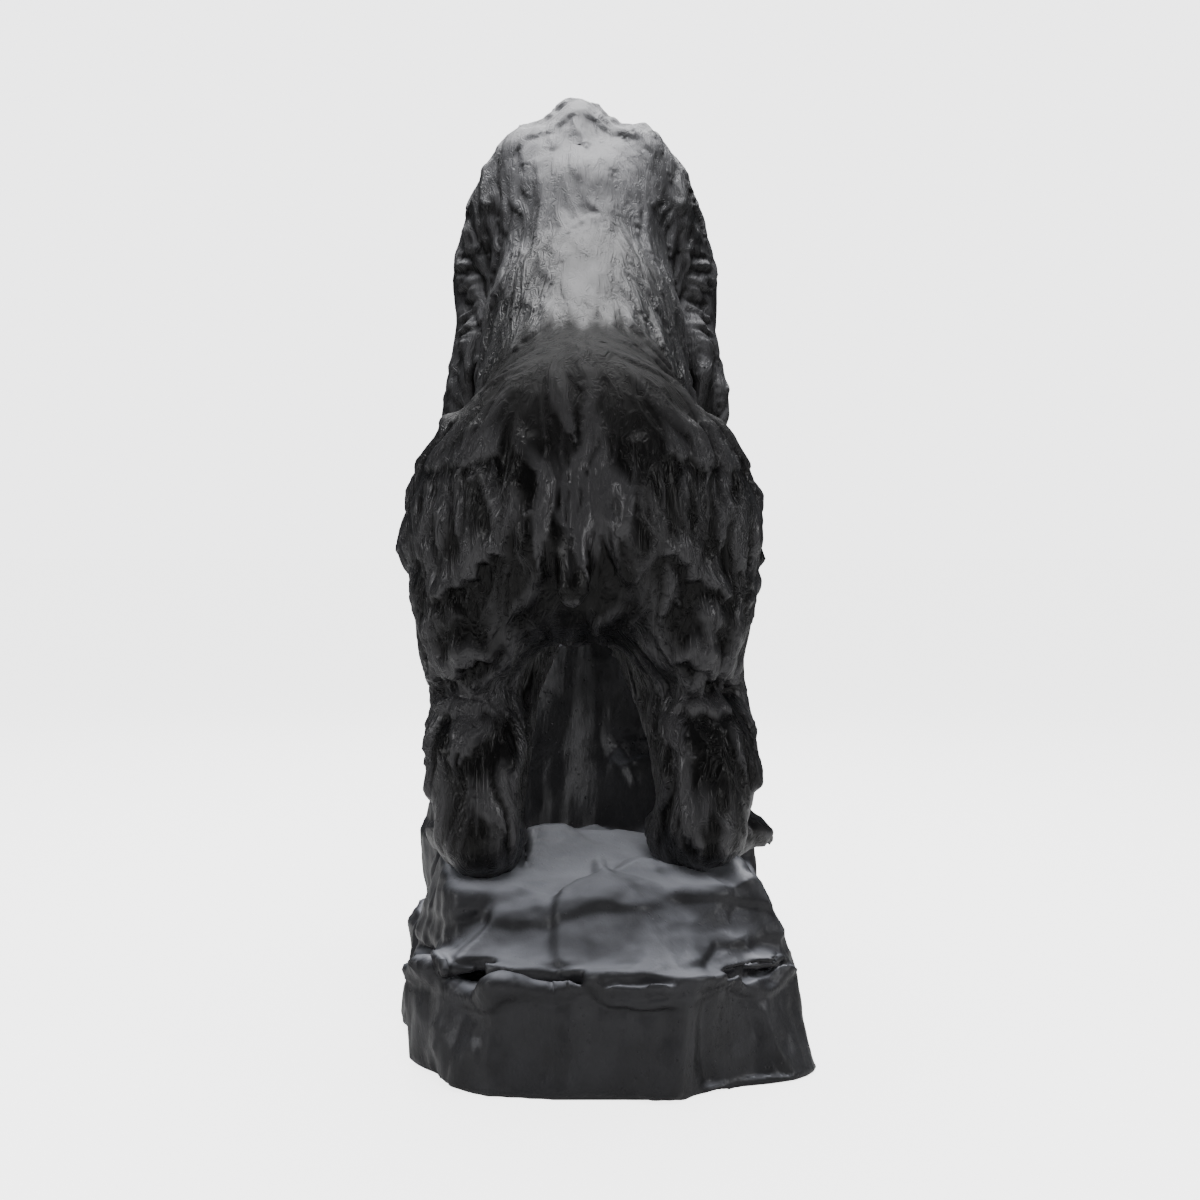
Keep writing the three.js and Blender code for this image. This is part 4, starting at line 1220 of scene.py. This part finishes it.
@dataclass
class ShaderGroup(Wiring):
    """A shared effect as a node group, built once and placed in each material."""

    INPUTS: ClassVar[dict[str, Socket]] = {}
    OUTPUTS: ClassVar[dict[str, Socket]] = {}

    tree: bpy.types.NodeTree = field(init=False)
    title: str
    given: bpy.types.bpy_prop_collection = field(init=False)
    made: bpy.types.bpy_prop_collection = field(init=False)

    def __post_init__(self) -> None:
        """Makes the group with its named sockets and lets it draw its nodes."""
        self.tree = bpy.data.node_groups.new(self.title, "ShaderNodeTree")
        for way, sockets in (("INPUT", self.INPUTS), ("OUTPUT", self.OUTPUTS)):
            for name, kind in sockets.items():
                self.tree.interface.new_socket(name, in_out=way, socket_type=kind.value)
        self.given = self.node("NodeGroupInput").outputs
        self.made = self.node("NodeGroupOutput").inputs
        self.draw()

    def draw(self) -> None:
        """Draws the group's nodes."""
        raise NotImplementedError

    def put_in(self, wire: Wiring, **values: float) -> bpy.types.Node:
        """Places the group in a material.

        Args:
            wire: The material's wiring.
            values: The group's inputs, by name.

        Returns:
            The group's node there.
        """
        node = wire.node("ShaderNodeGroup", node_tree=self.tree)
        for name, value in values.items():
            node.inputs[name.replace("_", " ")].default_value = value
        return node


class DustAndTopLightGroup(ShaderGroup):
    """Says how pale a face is with dust and painted top light: paler where it faces up, in cloudy
    patches.
    """

    INPUTS = {"Amount": Socket.VALUE, "Patch Scale": Socket.VALUE, "Sharpness": Socket.VALUE}
    OUTPUTS = {"Mask": Socket.VALUE}

    def draw(self) -> None:
        """Draws the nodes."""
        # Painted top light with the dust: the more a face turns up, the paler it is painted.
        facing = self.parts(self.node("ShaderNodeNewGeometry").outputs["Normal"])
        upward = self.math("POWER", self.mapped(facing["Z"], WHOLE), self.given["Sharpness"])
        patches = self.noise(self.given["Patch Scale"], 7, self.place())
        cloudy = self.mapped(patches, (0.3, 0.7), (0.7, 1.15))
        dust_and_top_light_mask = self.math("MULTIPLY", upward, cloudy)
        self.feed(self.made["Mask"], self.math("MULTIPLY", dust_and_top_light_mask, self.given["Amount"]))


class GrainGroup(ShaderGroup):
    """The cast skin's fine relief: its grain, pits in scattered patches, and drawn-out lines."""

    INPUTS = {"Grain": Socket.VALUE, "Pits": Socket.VALUE, "Drawn": Socket.VALUE}
    OUTPUTS = {"Normal": Socket.VECTOR}
    GRAIN_DEPTH, PIT_DEPTH, DRAWN_DEPTH = 0.0013, 0.0035, 0.003
    PITS_PER_METRE = 70.0

    def draw(self) -> None:
        """Draws the nodes."""
        place = self.place()
        grain = self.bump(self.GRAIN_DEPTH, self.given["Grain"], self.noise(120, 6, place))
        cells = self.node("ShaderNodeTexVoronoi")
        cells.inputs["Scale"].default_value = self.PITS_PER_METRE
        self.feed(cells.inputs["Vector"], place)
        hole = self.mapped(cells.outputs["Distance"], (0.04, 0.2))
        smooth_patch = self.mapped(self.noise(7, 3, place), (0.5, 0.62), (1.0, 0.0))
        spared = self.math("MAXIMUM", hole, smooth_patch)
        pits = self.bump(self.PIT_DEPTH, self.given["Pits"], spared, grain)
        stretch = self.node("ShaderNodeMapping")
        stretch.inputs["Scale"].default_value = (1, 1, 0.09)
        self.feed(stretch.inputs["Vector"], place)
        lines = self.noise(75, 4, stretch.outputs["Vector"])
        drawn = self.bump(self.DRAWN_DEPTH, self.given["Drawn"], lines, pits)
        self.feed(self.made["Normal"], drawn)


class StrandGroup(ShaderGroup):
    """The strands within each lock, which run along it and close at its tip."""

    INPUTS = {"Strength": Socket.VALUE, "Base": Socket.VECTOR}
    OUTPUTS = {"Normal": Socket.VECTOR}
    DEPTH = 0.0034
    FINENESS = {"X": 0.8, "Y": 2.7, "Z": 2.5}

    def draw(self) -> None:
        """Draws the nodes."""
        comb, lie = self.attribute("comb"), self.attribute("lie")
        stretched = self.node("ShaderNodeCombineXYZ")
        for axis, factor in self.FINENESS.items():
            self.feed(stretched.inputs[axis], self.math("MULTIPLY", comb[axis], factor))
        strands = self.mapped(self.noise(1.0, 1.2, stretched.outputs[0]), (0.28, 0.72))
        full = self.mapped(lie["Y"], (0.0, 0.55), (0.12, 1.0))
        inner = self.mapped(lie["Z"], (0.05, 0.45))
        height = self.math("MULTIPLY", strands, self.math("MULTIPLY", full, inner))
        raised = self.bump(self.DEPTH, self.given["Strength"], height, self.given["Base"])
        self.feed(self.made["Normal"], raised)


@dataclass(frozen=True)
class FurFinish:
    """How the patina follows the fur: its strands, its crests, and the matt rump with its painted
    shade.
    """

    strands: float
    matt_roughness: float
    matt_specular: float
    # Share of metal and crest tone kept where the matt rump is painted dark as shade.
    painted_shade: float
    crest: tuple[float, float] = (0.3, 0.85)


@dataclass(frozen=True)
class Patina:
    """A dark bronze patina: black in the hollows, rubbed where it stands out, pale on top with
    dust and painted top light.
    """

    name: str
    rubbed: tuple[float, float, float]
    hollow: tuple[float, float, float]
    # Colour of the dust and the painted top light on faces that turn up.
    dust_and_top_light: tuple[float, float, float]
    dust_and_top_light_amount: float
    dust_and_top_light_sharpness: float
    patch_scale: float
    metallic: float
    dust_and_top_light_metallic: float
    roughness: float
    grain: float
    pits: float
    drawn: float = 0.0
    specular: float = 0.5
    cloud_scale: float = 12.0
    fur: FurFinish | None = None

    def build(self, dust_and_top_light: DustAndTopLightGroup, grain: GrainGroup, strand: StrandGroup) -> bpy.types.Material:
        """Builds the material from the shared effects.

        Args:
            dust_and_top_light: The effect that paints dust and top light on faces that turn up.
            grain: The cast skin's effect.
            strand: The strands' effect.

        Returns:
            The finished material.
        """
        material = bpy.data.materials.new(self.name)
        material.use_nodes = True
        wire = Wiring(material.node_tree)
        # Dust and painted top light: a pale mask on faces that turn up.
        dust_and_top_light_node = dust_and_top_light.put_in(
            wire,
            Amount=self.dust_and_top_light_amount,
            Patch_Scale=self.patch_scale,
            Sharpness=self.dust_and_top_light_sharpness,
        )
        dust_and_top_light_mask = dust_and_top_light_node.outputs["Mask"]
        skin = grain.put_in(wire, Grain=self.grain, Pits=self.pits, Drawn=self.drawn)
        metal = wire.mapped(dust_and_top_light_mask, WHOLE, (self.metallic, self.dust_and_top_light_metallic))
        normal = skin.outputs["Normal"]
        roughness, specular = self.roughness, self.specular
        if self.fur:
            combed = strand.put_in(wire, Strength=self.fur.strands)
            wire.feed(combed.inputs["Base"], normal)
            normal = combed.outputs["Normal"]
            lie, painted_light_and_matt = wire.attribute("lie"), wire.attribute("painted_light_and_matt")
            # X is painted pale light on the back; Y is the matt finish with painted shade.
            painted_back_light, matt_and_shaded = painted_light_and_matt["X"], painted_light_and_matt["Y"]
            # Dust and painted top light only where pale light is painted on the back.
            wire.feed(dust_and_top_light_node.inputs["Amount"], wire.math("MULTIPLY", painted_back_light, self.dust_and_top_light_amount))
            roughness = wire.mapped(matt_and_shaded, WHOLE, (roughness, self.fur.matt_roughness))
            specular = wire.mapped(matt_and_shaded, WHOLE, (specular, self.fur.matt_specular))
            # Painted shade on the matt rump: its metal and crests are darkened.
            unshaded = wire.mapped(matt_and_shaded, WHOLE, (1.0, self.fur.painted_shade))
            metal = wire.math("MULTIPLY", metal, unshaded)
            crest = wire.math("MULTIPLY", wire.mapped(lie["X"], self.fur.crest), unshaded)
        else:
            crest = wire.noise(self.cloud_scale, 6, wire.place())
        tone = wire.mix(crest, self.hollow, self.rubbed)
        shader = material.node_tree.nodes["Principled BSDF"].inputs
        # The pale dust and painted top light laid over the patina's tone.
        wire.feed(shader["Base Color"], wire.mix(dust_and_top_light_mask, tone, self.dust_and_top_light))
        wire.feed(shader["Metallic"], metal)
        wire.feed(shader["Roughness"], roughness)
        wire.feed(shader["Specular IOR Level"], specular)
        wire.feed(shader["Normal"], normal)
        return material


@dataclass(frozen=True)
class Lamp:
    """A soft square light: its place, turn in degrees, side, power, and whether metal shows it."""

    name: str
    place: tuple[float, float, float]
    turn: tuple[float, float, float]
    size: float
    power: float
    glossy: bool = True

    def hang(self) -> None:
        """Hangs the light."""
        light = bpy.data.lights.new(self.name, "AREA")
        light.size = self.size
        light.energy = self.power
        lamp = bpy.data.objects.new(self.name, light)
        lamp.location = self.place
        lamp.rotation_euler = [math.radians(v) for v in self.turn]
        lamp.visible_glossy = self.glossy
        bpy.context.scene.collection.objects.link(lamp)


LAMPS = (
    Lamp("overhead", (0.0, -1.7, 4.5), (10, 0, 0), 3.4, 230),
    Lamp("far_side", (0.4, -5.2, 3.6), (58, 0, 0), 3.4, 90, glossy=False),
    Lamp("near_left", (3.9, 2.6, 2.0), (78, 0, 123), 1.2, 52),
    Lamp("near_right", (-4.0, 2.4, 2.0), (78, 0, -121), 1.2, 52),
    Lamp("near_high", (0.0, 4.6, 4.6), (-43, 0, 0), 3.0, 330, glossy=False),
    Lamp("near_low", (0.0, 5.6, 1.3), (-86, 0, 0), 2.2, 14, glossy=False),
)


@dataclass(frozen=True)
class Studio:
    """The plain floor, the soft light and the camera at the photo's angle."""

    eye: tuple[float, float, float]
    focal_px: float = 1857.0
    centre_px: tuple[float, float] = (583.0, 550.0)
    picture_px: float = 1200.0
    sensor_mm: float = 36.0
    floor_side: float = 400
    floor_below: float = 0.0005
    floor_glow: float = 3.7
    backdrop: float = 4.0
    room: float = 0.09
    sun_power: float = 0.9
    sun_width: float = 40
    sun_turn: float = 16
    lamps: tuple[Lamp, ...] = LAMPS

    def build_floor(self) -> None:
        """Lays the pale floor, which glows for the camera alone."""
        bpy.ops.mesh.primitive_plane_add(size=self.floor_side, location=(0, 0, -self.floor_below))
        floor = bpy.context.object
        floor.name = "floor"
        pale = bpy.data.materials.new("pale_floor")
        pale.use_nodes = True
        wire = Wiring(pale.node_tree)
        shader = pale.node_tree.nodes["Principled BSDF"].inputs
        shader["Base Color"].default_value = (0.6, 0.6, 0.6, 1)
        shader["Roughness"].default_value = 0.9
        shader["Emission Color"].default_value = (0.9, 0.9, 0.905, 1)
        seen = wire.node("ShaderNodeLightPath").outputs["Is Camera Ray"]
        wire.feed(shader["Emission Strength"], wire.math("MULTIPLY", seen, self.floor_glow))
        floor.data.materials.append(pale)

    def build_surroundings(self) -> None:
        """Gives the camera a pale background and the castings a darker room."""
        world = bpy.data.worlds.new("studio")
        world.use_nodes = True
        wire = Wiring(world.node_tree)
        nodes = world.node_tree.nodes
        room, pale = nodes["Background"], wire.node("ShaderNodeBackground")
        for background, colour, strength in (
            (room, (0.8, 0.85, 0.95, 1), self.room),
            (pale, (0.9, 0.9, 0.91, 1), self.backdrop),
        ):
            background.inputs["Color"].default_value = colour
            background.inputs["Strength"].default_value = strength
        mix = wire.node("ShaderNodeMixShader")
        wire.feed(mix.inputs["Fac"], wire.node("ShaderNodeLightPath").outputs["Is Camera Ray"])
        wire.feed(mix.inputs[1], room.outputs[0])
        wire.feed(mix.inputs[2], pale.outputs[0])
        wire.feed(nodes["World Output"].inputs["Surface"], mix.outputs[0])
        bpy.context.scene.world = world

    def build_light(self) -> None:
        """Hangs the soft lights."""
        sun = bpy.data.lights.new("sky", "SUN")
        sun.energy = self.sun_power
        sun.angle = math.radians(self.sun_width)
        high = bpy.data.objects.new("sky", sun)
        high.rotation_euler = (math.radians(self.sun_turn), 0, 0)
        bpy.context.scene.collection.objects.link(high)
        for lamp in self.lamps:
            lamp.hang()

    def build_camera(self) -> None:
        """Sets the camera where the photo was taken from."""
        camera = bpy.data.cameras.new("camera")
        camera.sensor_width = self.sensor_mm
        camera.lens = self.focal_px / self.picture_px * camera.sensor_width
        camera.shift_x = (self.picture_px / 2 - self.centre_px[0]) / self.picture_px
        camera.shift_y = (self.centre_px[1] - self.picture_px / 2) / self.picture_px
        holder = bpy.data.objects.new("camera", camera)
        holder.location = self.eye
        holder.rotation_euler = (math.radians(90), 0, math.radians(180))
        bpy.context.scene.collection.objects.link(holder)
        bpy.context.scene.camera = holder

    def build(self) -> None:
        """Builds the whole studio."""
        self.build_floor()
        self.build_surroundings()
        self.build_light()
        self.build_camera()


def main() -> None:
    """Builds the castings, the studio and the camera."""
    logging.basicConfig(level=logging.INFO, format="%(name)s: %(message)s")
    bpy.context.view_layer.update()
    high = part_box("bear")[1]
    where = FigurePlace(FIGURE_HEIGHT, HIND_SOLE_Z, high.y - TAIL_SIDE_Y, MIDDLE_X)
    effects = (DustAndTopLightGroup("dust_and_top_light"), GrainGroup("cast_grain"), StrandGroup("strands"))
    figure_bronze = Patina(
        name="figure_patina",
        rubbed=(0.042, 0.0412, 0.043),
        hollow=(0.0016, 0.0014, 0.0012),
        # Pale dust and painted top light, laid only where pale light is painted on the back.
        dust_and_top_light=(0.18, 0.18, 0.19),
        dust_and_top_light_amount=0.9,
        dust_and_top_light_sharpness=1.3,
        patch_scale=6.0,
        metallic=0.6,
        dust_and_top_light_metallic=0.05,
        roughness=0.38,
        grain=0.14,
        pits=0.3,
        # The last fur value darkens the matt rump's metal and crests as painted shade.
        fur=FurFinish(strands=0.78, matt_roughness=0.72, matt_specular=0.08, painted_shade=0.2),
    ).build(*effects)
    rock_bronze = Patina(
        name="rock_patina",
        rubbed=(0.038, 0.038, 0.042),
        hollow=(0.012, 0.0117, 0.012),
        # Pale dust and painted top light on the rock's faces that turn up.
        dust_and_top_light=(0.34, 0.35, 0.39),
        dust_and_top_light_amount=0.85,
        dust_and_top_light_sharpness=3.6,
        patch_scale=5.0,
        metallic=0.5,
        dust_and_top_light_metallic=0.1,
        roughness=0.45,
        grain=0.5,
        pits=0.45,
        drawn=0.4,
    ).build(*effects)
    fine = FINE_VOXEL
    BearCasting(
        node="bear",
        material_slot="figure_bronze",
        voxel=fine,
        smoothing=8,
        softening=1,
        triangles=196000,
        material=figure_bronze,
        fur=FurField(where),
        folds=FOLDS,
    ).build()
    RockCasting(
        node="rock_base",
        material_slot="rock_bronze",
        voxel=ROCK_VOXEL_SHARE * fine,
        smoothing=4,
        softening=1,
        triangles=190000,
        material=rock_bronze,
    ).build()
    Studio((MIDDLE_X, where.tail_y + CAMERA_BEHIND, CAMERA_Z)).build()


if __name__ == "__main__":
    main()
